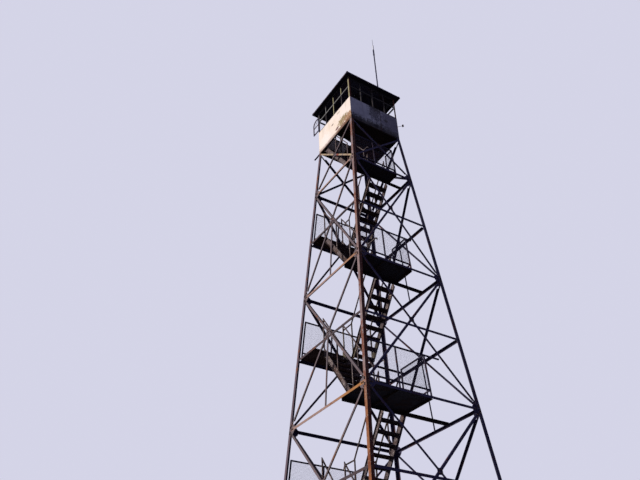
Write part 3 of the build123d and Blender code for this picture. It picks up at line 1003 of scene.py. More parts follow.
class Finish(Enum):
    """The finishes of the tower."""

    # LEG and LATTICE_FRONT are the lit copies of the steel, while LEG_LEFT, LEG_BACK and LATTICE are copies
    # in painted shade. LEG's dark red right colour is the painted shade of its right flange.
    LEG = RustedSteel("leg_steel", (0.034, 0.026, 0.046), (0.32, 0.230, 0.235), DARK_RED,
                      (0.120, 0.036, 0.024), (0.260, 0.090, 0.045), (0.37, 0.143, 0.055), 0.46, 0.5,
                      ochre_from=0.45, speckle=(0.54, 0.43, 0.36), speckled=0.60)
    LEG_LEFT = RustedSteel("leg_steel_left", NAVY_PAINTED_SHADE, (0.16, 0.12, 0.15), NAVY_PAINTED_SHADE, RUST, FRESH_RUST,
                           (0.12, 0.08, 0.10), 0.35)
    LEG_BACK = RustedSteel("leg_steel_back", NAVY_PAINTED_SHADE, (0.050, 0.044, 0.090), NAVY_PAINTED_SHADE, DARK_RED, RUST,
                           (0.045, 0.030, 0.045), 0.40, 0.4)
    LATTICE_FRONT = RustedSteel("lattice_steel_front", (0.032, 0.026, 0.048), (0.17, 0.135, 0.15),
                                (0.05, 0.03, 0.04), RUST, FRESH_RUST, (0.24, 0.18, 0.165), 0.32,
                                ochre_from=0.54, girt=(0.42, 0.27, 0.23), stains=BRACE_STAINS)
    LATTICE = RustedSteel("lattice_steel", NAVY_PAINTED_SHADE, (0.042, 0.036, 0.074), NAVY_PAINTED_SHADE, DARK_RED,
                          (0.11, 0.045, 0.025), (0.040, 0.030, 0.050), 0.38, 0.4)
    # Deck plate and stair steel: near black as painted shade from below, a little lighter towards -X.
    DECK = RustedSteel("deck_plate", BLACK, (0.070, 0.040, 0.028), (0.016, 0.011, 0.013),
                       (0.022, 0.010, 0.008), (0.060, 0.026, 0.014), (0.11, 0.05, 0.02), 0.45, 0.4, 0.88,
                       0.002, lugs=3.0, left_shade=(0.040, 0.020, 0.015))
    STAIR = RustedSteel("stair_steel", (0.026, 0.018, 0.026), (0.185, 0.145, 0.150), (0.030, 0.020, 0.030),
                        (0.035, 0.016, 0.014), (0.120, 0.066, 0.050), (0.170, 0.145, 0.085), 0.45, 0.4, 0.88,
                        speckle=(0.58, 0.50, 0.44), left_shade=(0.045, 0.022, 0.018))
    RAIL = RustedSteel("guard_steel", (0.030, 0.027, 0.062), (0.060, 0.052, 0.085), (0.030, 0.027, 0.060),
                       DARK_RED, RUST, (0.08, 0.05, 0.05), 0.35)
    MESH = PlainSheen("mesh_wire", (0.040, 0.038, 0.080), (0.034, 0.028, 0.046), 0.8)
    BOLT = PlainSheen("bolt_steel", (0.10, 0.075, 0.07), (0.16, 0.07, 0.035), 0.6, 0.7)
    CAB_FRONT = PeelingPaint("cab_paint_front", (0.90, 0.79, 0.73), (0.88, 0.74, 0.63), (0.46, 0.35, 0.22),
                             (0.13, 0.035, 0.025), 0.22, 0.6, 0.6, FRONT_STAINS)
    # The right wall: the front's cream paint put in painted shade, a blue grey.
    CAB_SIDE_PAINTED_SHADE = PeelingPaint("cab_paint_side_painted_shade", (0.46, 0.46, 0.56), (0.33, 0.33, 0.43), (0.080, 0.070, 0.100),
                            (0.030, 0.020, 0.024), 0.38, 0.7, 1.0, RIGHT_STAINS)
    CAB_REAR = PeelingPaint("cab_paint_rear", (0.40, 0.38, 0.40), (0.33, 0.30, 0.30), (0.14, 0.11, 0.11),
                            (0.07, 0.032, 0.024), 0.40, 0.6, 0.9)
    SEAM = RustedSteel("seam_strip", SEAM_SHADE, (0.50, 0.40, 0.32), SEAM_SHADE, DARK_RED, RUST,
                       (0.34, 0.20, 0.10), 0.45)
    POST = RustedSteel("corner_post", (0.024, 0.018, 0.026), (0.44, 0.40, 0.24), (0.085, 0.020, 0.018), RUST,
                       FRESH_RUST, (0.30, 0.24, 0.14), 0.28, stains=(DARK_POST,))
    # One window paint in three copies: dark for painted shade, grey for painted light on the front's transom
    # and upper bars, and pale for painted sunlight on the sunlit front mullions.
    WINDOW = RustedSteel("window_paint_painted_shade", (0.012, 0.011, 0.018), (0.050, 0.042, 0.046),
                         (0.014, 0.012, 0.018), (0.030, 0.016, 0.014), (0.07, 0.03, 0.02),
                         (0.05, 0.035, 0.03), 0.30, 0.3, 0.7)
    TRANSOM_PAINTED_LIGHT = RustedSteel("transom_paint_painted_light", (0.035, 0.035, 0.045), (0.25, 0.25, 0.25), (0.05, 0.05, 0.06),
                          (0.06, 0.04, 0.04), (0.10, 0.07, 0.06), (0.20, 0.19, 0.18), 0.30, 0.3, 0.7)
    MULLION_PAINTED_SUNLIGHT = RustedSteel("mullion_paint_painted_sunlight", (0.05, 0.045, 0.035), (0.52, 0.49, 0.29), (0.07, 0.06, 0.045),
                          (0.16, 0.12, 0.07), (0.22, 0.16, 0.08), (0.46, 0.40, 0.22), 0.25, 0.3, 0.7)
    ROOF = RustedSteel("roof_sheet", ROOF_NAVY, ROOF_NAVY, ROOF_NAVY, (0.060, 0.024, 0.018),
                       (0.12, 0.055, 0.03), (0.035, 0.025, 0.030), 0.40, 0.6)
    SOFFIT = RustedSteel("soffit_boards", BLACK, BLACK, BLACK, (0.014, 0.009, 0.010), (0.020, 0.012, 0.010),
                         BLACK, 0.35, 0.4, 0.9)
    BOARDS = OldBoards("old_boards", (0.20, 0.16, 0.13), (0.09, 0.07, 0.055), (0.085, 0.026, 0.018),
                       (0.012, 0.009, 0.010))
    CONCRETE = CastConcrete("cast_concrete", (0.52, 0.50, 0.46), (0.34, 0.32, 0.29))
    PIPE = PlainSheen("dark_pipe", (0.036, 0.034, 0.080), (0.050, 0.028, 0.030), 0.5)
    COIL = PlainSheen("white_coil", (0.80, 0.80, 0.84), (0.42, 0.40, 0.42), 0.35, 0.3, 0.5)
    ARM = RustedSteel("knob_iron", ARM_BROWN, (0.12, 0.05, 0.03), ARM_BROWN, RUST, FRESH_RUST,
                      (0.14, 0.06, 0.03), 0.6, 0.4)
    GLAZE = PlainSheen("brown_glaze", (0.17, 0.07, 0.045), (0.10, 0.07, 0.06), 0.18, 0.25, 0.5)

    def material(self) -> Material:
        """The finish's material, built at its first use.

        Returns:
            The material.
        """
        if self.name not in MADE:
            MADE[self.name] = self.value.make()
        return MADE[self.name]


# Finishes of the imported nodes, by the start of their names, the first that fits
NODE_FINISHES = {
    "leg_conduit": Finish.PIPE, "leg_front_right": Finish.LEG, "leg_front_left": Finish.LEG_LEFT,
    "leg_": Finish.LEG_BACK, "lattice_front": Finish.LATTICE_FRONT, "lattice_": Finish.LATTICE,
    "base_bracing": Finish.LATTICE, "landing_": Finish.DECK, "guard_rails_": Finish.RAIL,
    "stair_flight_": Finish.STAIR, "cab_floor_frame": Finish.DECK, "cab_floor": Finish.BOARDS,
    "cab_wall_front": Finish.CAB_FRONT, "cab_wall_right": Finish.CAB_SIDE_PAINTED_SHADE, "cab_wall_": Finish.CAB_REAR,
    "window_bars_": Finish.WINDOW, "cab_corner_posts": Finish.POST, "roof_frame": Finish.SOFFIT,
    "roof": Finish.ROOF, "antenna_": Finish.PIPE, "floor_outrigger": Finish.LATTICE,
    "open_sash": Finish.LATTICE, "wire_knob": Finish.GLAZE, "concrete_piers": Finish.CONCRETE}


def dress_nodes() -> None:
    """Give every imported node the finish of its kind."""
    for name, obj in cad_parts.items():
        finish = next(f for start, f in NODE_FINISHES.items() if name.startswith(start))
        if not obj.data.materials:
            obj.data.materials.append(finish.material())
        for spot in obj.material_slots:
            spot.material = finish.material()


# Bolts
@dataclass
class Bolts:
    """The hexagon heads at the gussets and crossings."""

    across: float = 0.034
    head: float = 0.016
    washer: float = 0.003
    corner_part: float = 1.15
    washer_part: float = 0.72
    chamfer: float = 0.12
    dome: float = 0.22
    leg_line: float = 0.58
    leg_rows: tuple[float, ...] = (-0.100, -0.060, 0.060, 0.100)
    girt_steps: tuple[float, ...] = (0.135, 0.195)
    brace_steps: tuple[float, ...] = (0.075, 0.145)
    cross_step: float = 0.055

    def master(self) -> Part:
        """Shape one head on its washer, standing on the plane z = 0.

        Returns:
            The head with its washer.
        """
        bolt = Part.rod(self.across / 2 * self.corner_part, self.head + self.washer, 6)
        with bolt.edit():
            bolt.faces(upward)
            bpy.ops.mesh.inset(thickness=self.across * self.chamfer)
            bpy.ops.transform.translate(value=(0.0, 0.0, self.head * self.dome))
        return Part.join([bolt, Part.rod(self.across * self.washer_part, self.washer, 10)])

    def brace(self, n: int, way: int) -> tuple[tuple[float, float], tuple[float, float]]:
        """A diagonal in the plane of its face.

        Args:
            n: The level it starts from.
            way: Whether it runs up (1) or down (-1).

        Returns:
            Its two ends, as along and up.
        """
        z, far = PLAN.level(n), PLAN.level(max(n - 2 * way, 0))
        return ((PLAN.half_width(z) - PLAN.brace_inset, PLAN.up_face(z) + way * PLAN.brace_drop),
                (PLAN.brace_inset - PLAN.half_width(far), PLAN.up_face(far) - way * PLAN.brace_drop))

    def gusset_spots(self, n: int) -> Iterator[Point]:
        """Bolts beside the right-hand leg at a full level, as along, up and outwards.

        Args:
            n: The level.

        Returns:
            Each spot in turn.
        """
        half, v = PLAN.half_width(PLAN.level(n)), PLAN.up_face(PLAN.level(n))
        for row in self.leg_rows:
            yield half - row * (PLAN.lean / PLAN.slant) - PLAN.leg_w * self.leg_line, v + row, 0.0
        for step in self.girt_steps:
            yield half - step, v, -PLAN.leg_t
        for way in (1, -1):
            if 0 <= n - 2 * way <= PLAN.levels:
                start, end = (Vector(spot) for spot in self.brace(n, way))
                for step in self.brace_steps:
                    yield (*(start + (end - start).normalized() * step), -PLAN.leg_t)

    def cross_spots(self, n: int) -> Iterator[Point]:
        """Bolts where the diagonals above a full level cross.

        Args:
            n: The level.

        Returns:
            Each spot in turn, as along, up and outwards.
        """
        (a, low), (b, high) = self.brace(n, 1)
        middle = low + (high - low) * a / (a - b)
        step = Vector((a - b, high - low)).normalized() * self.cross_step
        for way in (1, -1):
            for side in (1, -1):
                yield way * side * step.x, middle + way * step.y, -PLAN.leg_t

    def build(self) -> None:
        """Set the bolts of all four faces."""
        spots: list[Point] = []
        for n in range(1, PLAN.levels, 2):
            for u, v, w in self.gusset_spots(n):
                spots += [(u, v, w), (-u, v, w)]
            spots += self.cross_spots(n)
        for side, name in enumerate(SIDES):
            piece = self.master().copies(PLAN.face(side) @ at(*spot) for spot in spots)
            piece.paint(Finish.BOLT).settle("face_bolts_" + name, "tower_steel")


# Stair and landing fastenings
@dataclass
class StairBolts:
    """The bolt heads that hold each tread between its two stringers."""

    apart: float = 0.110
    below: float = 0.018
    scale: float = 0.62

    def flight(self, n: int) -> Iterator[Matrix]:
        """Places of the bolts of the flight that climbs from a level.

        Args:
            n: The level.

        Returns:
            Each place in turn.
        """
        top = PLAN.cab_z + PLAN.floor_top if n == 1 else PLAN.level(n - 1) + PLAN.deck_top
        base = 0.0 if n == PLAN.levels else PLAN.level(n) + PLAN.deck_top
        rise = top - base
        run = PLAN.right_edge + PLAN.left_edge
        if n == PLAN.levels:
            run *= rise / PLAN.half_panel
        start = run - PLAN.left_edge if n % 2 else -PLAN.left_edge
        flight = at(start, PLAN.lane(n), base) @ turn(math.pi if n % 2 else 0.0)
        for i in range(int((rise - PLAN.least_step) / PLAN.tread_rise)):
            z = rise - (i + 1) * PLAN.tread_rise
            for step in (-self.apart / 2, self.apart / 2):
                for side in (1, -1):
                    y = side * (PLAN.stair_w / 2 + PLAN.stringer_t)
                    spot = at(z * run / rise + step, y, z - self.below)
                    yield flight @ spot @ turn(-side * QUARTER, "X") @ Matrix.Scale(self.scale, 4)

    def build(self) -> None:
        """Set the bolts of all nine flights."""
        piece = Bolts().master().copies(p for n in range(1, PLAN.levels + 1) for p in self.flight(n))
        piece.paint(Finish.BOLT).settle("stair_bolts", "deck_steel")


@dataclass
class EdgeStrips:
    """The packing strips between the left landings' decks and the girts that carry them."""

    depth: float = 0.076
    width: float = 0.010
    height: float = 0.0065
    corner: float = 0.095

    def strip(self, n: int) -> Part:
        """The strip under the outer edge of one landing, clear of the diagonals.

        Args:
            n: The landing's level.

        Returns:
            The strip.
        """
        z = PLAN.level(n) + PLAN.girt_w / 2
        x = self.depth - PLAN.half_width(z)
        low = (x, self.corner - PLAN.half_width(z), z - self.height)
        return Part.block(low, (x + self.width, PLAN.landing_end(n), z)).ease(self.height / 5)

    def build(self) -> None:
        """Lay the strips of the four left landings."""
        piece = Part.join([self.strip(n) for n in range(2, PLAN.levels, 2)])
        piece.paint(Finish.DECK).settle("landing_edge_strips", "deck_steel")


# Guard mesh
@dataclass
class GuardMesh:
    """The welded wire infill of the guard rails."""

    pitch: float = 0.032
    wire_r: float = 0.0016
    wave: float = 0.004
    rng: random.Random = field(default_factory=lambda: random.Random(7))

    @property
    def low(self) -> float:
        """Height of the infill's foot over the deck."""
        return PLAN.toe_rail_z + PLAN.guard_w

    def infill(self, length: float) -> Part:
        """The mesh of one panel.

        Args:
            length: How long the panel is.

        Returns:
            Wires along X and Z, in the plane y = 0.
        """
        height = PLAN.guard_h - PLAN.guard_w - self.low
        sets = []
        for tall, wide in ((height, length), (length, height)):
            wire = Part.strand(self.wire_r, tall, self.wave * self.rng.uniform(-1, 1), 4)
            count = max(2, int(wide / self.pitch))
            if sets:
                wire.move(at(0.0, 2 * self.wire_r, 0.0) @ turn(QUARTER, "Y"))
            step = wide / (count - 1)
            sets.append(wire.repeat(count, (0.0, 0.0, step) if sets else (step, 0.0, 0.0)))
        return Part.join(sets)

    def outer(self, n: int) -> Part:
        """The infill of a landing's outer guard, which leans with its face.

        Args:
            n: The landing's level.

        Returns:
            The infill in its place on the right.
        """
        deep = PLAN.guard_inset + PLAN.guard_w
        v = PLAN.up_face(PLAN.level(n) + PLAN.deck_top) + deep * PLAN.lean + self.low
        u = (PLAN.lean * v + PLAN.guard_inset) / PLAN.slant - PLAN.base_half
        panel = self.infill(PLAN.landing_end(n) - u)
        panel.cut((0.0, 0.0, 0.0), (-1.0, 0.0, PLAN.lean / PLAN.slant))
        w = -PLAN.guard_inset - PLAN.guard_w / 2
        return panel.move(PLAN.face(1) @ at(u, v, w) @ turn(-QUARTER, "X"))

    def end(self, n: int) -> Part:
        """The infill of a landing's upright inner end.

        Args:
            n: The landing's level.

        Returns:
            The infill in its place on the right.
        """
        z = PLAN.level(n) + PLAN.deck_top + self.low
        x = (PLAN.right_edge if n % 2 else PLAN.left_edge) + PLAN.guard_w
        clear = (PLAN.guard_inset + PLAN.guard_w + PLAN.guard_gap) * PLAN.slant
        length = PLAN.half_width(z) - clear - x
        panel = self.infill(length).cut((length, 0.0, 0.0), (1.0, 0.0, PLAN.lean))
        return panel.move(at(x, PLAN.landing_end(n) - PLAN.guard_w / 2, z))

    def build(self) -> None:
        """Fill the guards of both sides."""
        for name, start in (("right", 1), ("left", 2)):
            levels = range(start, PLAN.levels, 2)
            piece = Part.join([make(n) for n in levels for make in (self.outer, self.end)])
            if name == "left":
                piece.move(Matrix.Diagonal((-1.0, 1.0, 1.0, 1.0))).obj.data.flip_normals()
            piece.paint(Finish.MESH).settle("guard_mesh_" + name, "rail_steel")


# Cab
@dataclass
class Floor:
    """The boards of the cab floor, cut round the hatch."""

    board: float = 0.140
    gap: float = 0.005
    bevel: float = 0.003
    hatch_right: float = 0.080
    hatch_back: float = 0.008
    hatch_front: float = 0.050
    clear: float = 0.003
    tilt: float = 0.0015
    rng: random.Random = field(default_factory=lambda: random.Random(11))

    def plank(self, low: Point, high: Point) -> Part:
        """One board along X with eased edges and a slight tilt."""
        top = high[2] - self.rng.uniform(0.0, self.tilt)
        return Part.block(low, (high[0], high[1] - self.gap, top)).ease(self.bevel)

    def build(self) -> None:
        """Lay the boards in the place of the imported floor."""
        low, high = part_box("cab_floor")
        hatch = (-PLAN.left_edge - self.clear, self.hatch_right + self.clear)
        front = self.hatch_front - PLAN.cab_half
        back = PLAN.lane(1) + PLAN.stair_overall / 2 + self.hatch_back
        rows = round((high[1] - low[1]) / self.board)
        step = (high[1] - low[1]) / rows
        boards = []
        for i in range(rows):
            y = low[1] + i * step
            ends = (low[0], *hatch, high[0]) if y + step > front and y < back else (low[0], high[0])
            for x0, x1 in zip(ends[::2], ends[1::2]):
                boards.append(self.plank((x0, y, low[2]), (x1, y + step, high[2])))
        Part.join(boards).paint(Finish.BOARDS).settle("floor_boards", "floor_boards", "cab_floor")


@dataclass
class Cladding:
    """The sheet walls below the windows: dented sheets, seams, lips and nail heads."""

    sheet_t: float = 0.003
    drop: float = 0.030
    cuts: int = 27
    lip: float = 0.040
    lip_t: float = 0.005
    seams: tuple[tuple[float, ...], ...] = ((), (0.27,), (-0.36, 0.36), (-0.27,))
    seam_w: float = 0.034
    seam_t: float = 0.0025
    nail_r: float = 0.007
    nail_pitch: float = 0.150
    nail_rows: tuple[float, float] = (0.015, 0.030)
    nail_edge: float = 0.025
    dents: int = 9
    dent_reach: float = 0.80
    dent_foot: float = 0.30
    dent_head: float = 0.25
    dent_size: tuple[float, float] = (0.09, 0.20)
    dent_deep: tuple[float, float] = (0.003, 0.008)
    rng: random.Random = field(default_factory=lambda: random.Random(23))

    def sheet(self, reach: float) -> Part:
        """The front sheet between its two ends, with shallow dents pushed inwards.

        Args:
            reach: Half the length of the wall.

        Returns:
            The sheet.
        """
        y = -PLAN.cab_half
        low, high = PLAN.cab_z - self.drop, SILL_Z
        sheet = Part.block((-reach, y - self.sheet_t, low), (reach, y, high))
        with sheet.edit("EDGE"):
            sheet.edges(lambda a, b: abs(a.y - b.y) < self.sheet_t / 2)
            bpy.ops.mesh.subdivide(number_cuts=self.cuts)
        for _ in range(self.dents):
            x = self.rng.uniform(-self.dent_reach, self.dent_reach)
            self.dent(sheet, x, self.rng.uniform(low + self.dent_foot, high - self.dent_head))
        return sheet

    def dent(self, sheet: Part, x: float, z: float) -> None:
        """Push a soft dent into a sheet.

        Args:
            sheet: The sheet.
            x: Where the dent is along it.
            z: How high it is.
        """
        size, deep = self.rng.uniform(*self.dent_size), self.rng.uniform(*self.dent_deep)
        near = min(sheet.obj.data.vertices, key=lambda p: math.hypot(p.co.x - x, p.co.z - z)).co.copy()
        with sheet.edit("VERT"):
            sheet.points(lambda p: math.hypot(p.x - near.x, p.z - near.z) < NEAR)
            bpy.ops.transform.translate(value=(0.0, deep, 0.0), use_proportional_edit=True,
                                        proportional_edit_falloff="SMOOTH", proportional_size=size)

    def strip(self, x: float) -> Part:
        """A cover strip over a seam, with eased edges.

        Args:
            x: Where the seam is.

        Returns:
            The painted strip.
        """
        y = -PLAN.cab_half - self.sheet_t
        half = self.seam_w / 2
        low = (x - half, y - self.seam_t, PLAN.cab_z - self.drop)
        strip = Part.block(low, (x + half, y + self.seam_t / 2, SILL_Z))
        return strip.ease(self.seam_t / 3).paint(Finish.SEAM)

    def lips(self) -> list[Part]:
        """The folded lips along the sill and the foot, inside.

        Returns:
            The two lips.
        """
        y = -PLAN.cab_half
        rail = PLAN.cab_half - PLAN.post_w
        feet = (SILL_Z - self.lip_t, PLAN.cab_z + PLAN.floor_top + SEAT)
        return [Part.block((-rail, y, z), (rail, y + self.lip, z + self.lip_t)).ease(self.lip_t / 4)
                for z in feet]

    def nails(self, reach: float, seams: Sequence[float]) -> Part:
        """The nail heads.

        Args:
            reach: Half the length of the wall.
            seams: Where its seams are.

        Returns:
            The heads along its edges and seams.
        """
        spots = []
        for z in (PLAN.cab_z + self.nail_rows[0], SILL_Z - self.nail_rows[1]):
            for i in range(int(2 * reach / self.nail_pitch)):
                spots.append(((i + 0.5) * self.nail_pitch - reach, 0.0, z))
        for x in (*seams, reach - self.nail_edge, self.nail_edge - reach):
            for i in range(1, int(PLAN.sill_h / self.nail_pitch)):
                spots.append((x, self.seam_t if x in seams else 0.0, PLAN.cab_z + i * self.nail_pitch))
        y, stand = -PLAN.cab_half - self.sheet_t, turn(QUARTER, "X")
        nail = Part.rod(self.nail_r, self.nail_r / 2, 6).taper(0.5)
        return nail.copies(at(x, y - out, z) @ stand for x, out, z in spots).paint(Finish.BOLT)

    def build(self) -> None:
        """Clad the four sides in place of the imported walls."""
        # The right wall's paint is the front's paint in painted shade.
        finishes = (Finish.CAB_FRONT, Finish.CAB_SIDE_PAINTED_SHADE, Finish.CAB_REAR, Finish.CAB_REAR)
        for side, name in enumerate(SIDES):
            node = "cab_wall_" + name
            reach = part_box(node)[1][side % 2]
            body = Part.join([self.sheet(reach), *self.lips()]).paint(finishes[side])
            seams = self.seams[side]
            piece = Part.join([body, self.nails(reach, seams), *(self.strip(x) for x in seams)])
            piece.move(turn(side * QUARTER)).settle("cladding_" + name, "cab_sheet", node)


@dataclass
class WindowRow:
    """The moulded rails and mullions of the four window rows."""

    bar_d: float = 0.040
    mullion_w: float = 0.036
    sill_rail_h: float = 0.032
    transom_z: float = 1.660
    transom_h: float = 0.050
    head_z: float = 2.110
    head_h: float = 0.050
    bays: int = 4
    bead: float = 0.006

    def bar(self, x0: float, x1: float, z0: float, z1: float, finish: "Finish") -> Part:
        """A bar with a shallow moulding on its outer face.

        Args:
            x0: Its left end.
            x1: Its right end.
            z0: Its foot over the cab's floor level.
            z1: Its head over that level.
            finish: Its paint.

        Returns:
            The bar in the front wall.
        """
        y = -PLAN.cab_half + SEAT
        bar = Part.block((x0, y, PLAN.cab_z + z0), (x1, y + self.bar_d, PLAN.cab_z + z1))
        x, z = (x0 + x1) / 2, PLAN.cab_z + (z0 + z1) / 2
        area = (x1 - x0 - self.bead) * (z1 - z0 - self.bead)
        with bar.edit():
            bar.faces(flat)
            bpy.ops.mesh.inset(thickness=self.bead, use_individual=True)
            bar.faces(lambda f: f.normal.y < -SQUARE_ON and f.area < area
                      and abs(f.center.x - x) < NEAR and abs(f.center.z - z) < NEAR)
            bpy.ops.transform.translate(value=(0.0, self.bead * 0.7, 0.0))
        return bar.paint(finish)

    def mullion_finish(self, side: int, i: int, upper: bool) -> "Finish":
        """The paint of a mullion: painted sunlight on the front's middle one and on its right one above the
        transom, painted light on the front's other upper one, and painted shade on the rest.

        Args:
            side: 0 front, 1 right, 2 back, 3 left.
            i: Its place in the row.
            upper: Whether it is over the transom.

        Returns:
            The finish.
        """
        if side == 0 and (i == 2 or (i == 3 and upper)):
            return Finish.MULLION_PAINTED_SUNLIGHT
        return Finish.TRANSOM_PAINTED_LIGHT if side == 0 and upper else Finish.WINDOW

    def build(self) -> None:
        """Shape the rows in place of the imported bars."""
        half = PLAN.cab_half - PLAN.post_w
        low = PLAN.sill_h + SEAT
        over = self.transom_z + self.transom_h
        spans = ((low + self.sill_rail_h, self.transom_z), (over, self.head_z))
        for side, name in enumerate(SIDES):
            # The front's transom takes the painted light copy of the paint, and the other sides take the
            # painted shade one.
            rail = Finish.TRANSOM_PAINTED_LIGHT if side == 0 else Finish.WINDOW
            bars = [self.bar(-half, half, low, low + self.sill_rail_h, Finish.WINDOW),
                    self.bar(-half, half, self.transom_z, over, rail),
                    self.bar(-half, half, self.head_z, self.head_z + self.head_h, Finish.WINDOW)]
            for i in range(1, self.bays):
                x = i * 2 * PLAN.cab_half / self.bays - PLAN.cab_half
                ends = (x - self.mullion_w / 2, x + self.mullion_w / 2)
                for upper, span in enumerate(spans):
                    bars.append(self.bar(*ends, *span, self.mullion_finish(side, i, bool(upper))))
            piece = Part.join(bars).move(turn(side * QUARTER))
            piece.settle("window_row_" + name, "window_paint", "window_bars_" + name)


@dataclass
class Sash:
    """The sash that hangs open at the front left post."""

    bar: float = 0.040
    glazing: float = 0.022
    set_back: float = 0.004
    eased: float = 0.003
    corner_r: float = 0.220
    stay_r: float = 0.0045
    stay_bow: float = 0.004
    stay_in: float = 0.10
    stay_down: float = 0.05
    stay_apart: float = 0.01
    knuckle_r: float = 0.007
    knuckle_h: float = 0.060
    knuckle_in: float = 0.004
    knuckle_out: float = 0.006
    leaf_w: float = 0.034
    leaf_half: float = 0.028
    leaf_out: float = 0.003
    leaf_in: float = 0.001
    hinge_at: float = 0.26

    def frame(self, low: Point, high: Point) -> Part:
        """The frame with its far upper corner rounded and its light cut through.

        Args:
            low: Its lowest corner.
            high: Its highest corner.

        Returns:
            The frame.
        """
        sash = Part.block(low, high)
        area = 0.8 * (high[0] - low[0]) * (high[2] - low[2])
        with sash.edit("EDGE"):
            sash.edges(lambda a, b: min(a.z, b.z) > high[2] - NEAR and max(a.x, b.x) < low[0] + NEAR)
            bpy.ops.mesh.bevel(offset=self.corner_r, segments=10, affect="EDGES")
        with sash.edit():
            sash.faces(flat)
            bpy.ops.mesh.inset(thickness=self.bar, use_individual=True)
            sash.faces(lambda f: flat(f) and len(f.vertices) > 4 and f.area < area)
            bpy.ops.mesh.bridge_edge_loops()
        return sash.ease(self.eased)

    def stay(self, start: Point, end: Point) -> Part:
        """A thin iron stay between two points, bent out a little at its middle."""
        a, b = Vector(start), Vector(end)
        return Part.strand(self.stay_r, (b - a).length, self.stay_bow, 6).move(between(a, b))

    def hinge(self, x: float, y: float, z: float) -> Part:
        """A butt hinge.

        Args:
            x: The side of the post.
            y: The face of the sash.
            z: The height of its middle.

        Returns:
            Its knuckle and its leaf.
        """
        knuckle = Part.rod(self.knuckle_r, self.knuckle_h, 10).ease(0.0015)
        knuckle.move(at(x - self.knuckle_in, y - self.knuckle_out, z - self.knuckle_h / 2))
        leaf = Part.block((x - self.leaf_w, y - self.leaf_out, z - self.leaf_half),
                          (x, y + self.leaf_in, z + self.leaf_half))
        return Part.join([knuckle, leaf.ease(0.001)])

    def build(self) -> None:
        """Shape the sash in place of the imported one."""
        low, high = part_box("open_sash")
        middle = (low[2] + high[2]) / 2
        y = (low[1] + high[1]) / 2
        left, right, top = low[0] + self.bar, high[0] - self.bar, high[2] - self.bar
        bar = Part.block((low[0] + self.bar / 2, low[1] + self.set_back, middle - self.glazing / 2),
                         (high[0] - self.bar / 2, high[1] - self.set_back, middle + self.glazing / 2))
        stays = [self.stay((right, y, middle), (left + self.stay_in, y, top - self.stay_down)),
                 self.stay((left, y + self.stay_apart, middle), (right, y + self.stay_apart, top))]
        hinges = [self.hinge(high[0], low[1], middle + dz) for dz in (-self.hinge_at, self.hinge_at)]
        piece = Part.join([self.frame(tuple(low), tuple(high)), bar.ease(self.eased), *stays, *hinges])
        piece.paint(Finish.LATTICE).settle("sash_frame", "window_paint", "open_sash")


@dataclass
class Knob:
    """The porcelain spool on its iron arm."""

    radius: float = 0.035
    waist: float = 0.021
    lip: float = 0.014
    shoulder: float = 0.004
    hollow: float = 0.9
    height: float = 0.070
    arm_w: float = 0.014
    plate_t: float = 0.005
    plate_half: float = 0.026
    plate_low: float = 0.040
    plate_high: float = 0.030

    def spool(self) -> Part:
        """The spool, turned from a disc, with its rims rounded.

        Returns:
            The spool, standing on the origin.
        """
        neck = self.waist / self.radius
        half = (self.height - 2 * self.lip - 2 * self.shoulder) / 2
        spool = Part.rod(self.radius, self.lip)
        spool.draw((self.shoulder, neck), (half, self.hollow), (half, 1 / self.hollow),
                   (self.shoulder, 1 / neck), (self.lip, 1.0))
        return spool.modify("BEVEL", width=0.003, segments=3, limit_method="ANGLE").paint(Finish.GLAZE)

    def build(self) -> None:
        """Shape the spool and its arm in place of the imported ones."""
        low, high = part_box("wire_knob")
        x, y = high[0] - self.radius, (low[1] + high[1]) / 2
        spool = self.spool().move(at(x, y, low[2]))
        start = Vector((low[0], y, high[2] - self.arm_w))
        end = Vector((x, y, low[2] + self.height / 2))
        arm = Part.rod(self.arm_w / 2, (end - start).length, 10).move(between(start, end))
        arm.modify("BEVEL", width=0.002, segments=2, limit_method="ANGLE").paint(Finish.ARM)
        plate = Part.block((low[0], y - self.plate_half, start.z - self.plate_low),
                           (low[0] + self.plate_t, y + self.plate_half, start.z + self.plate_high))
        piece = Part.join([spool, arm, plate.ease(0.0015).paint(Finish.ARM)])
        piece.settle("spool_and_arm", "porcelain", "wire_knob")


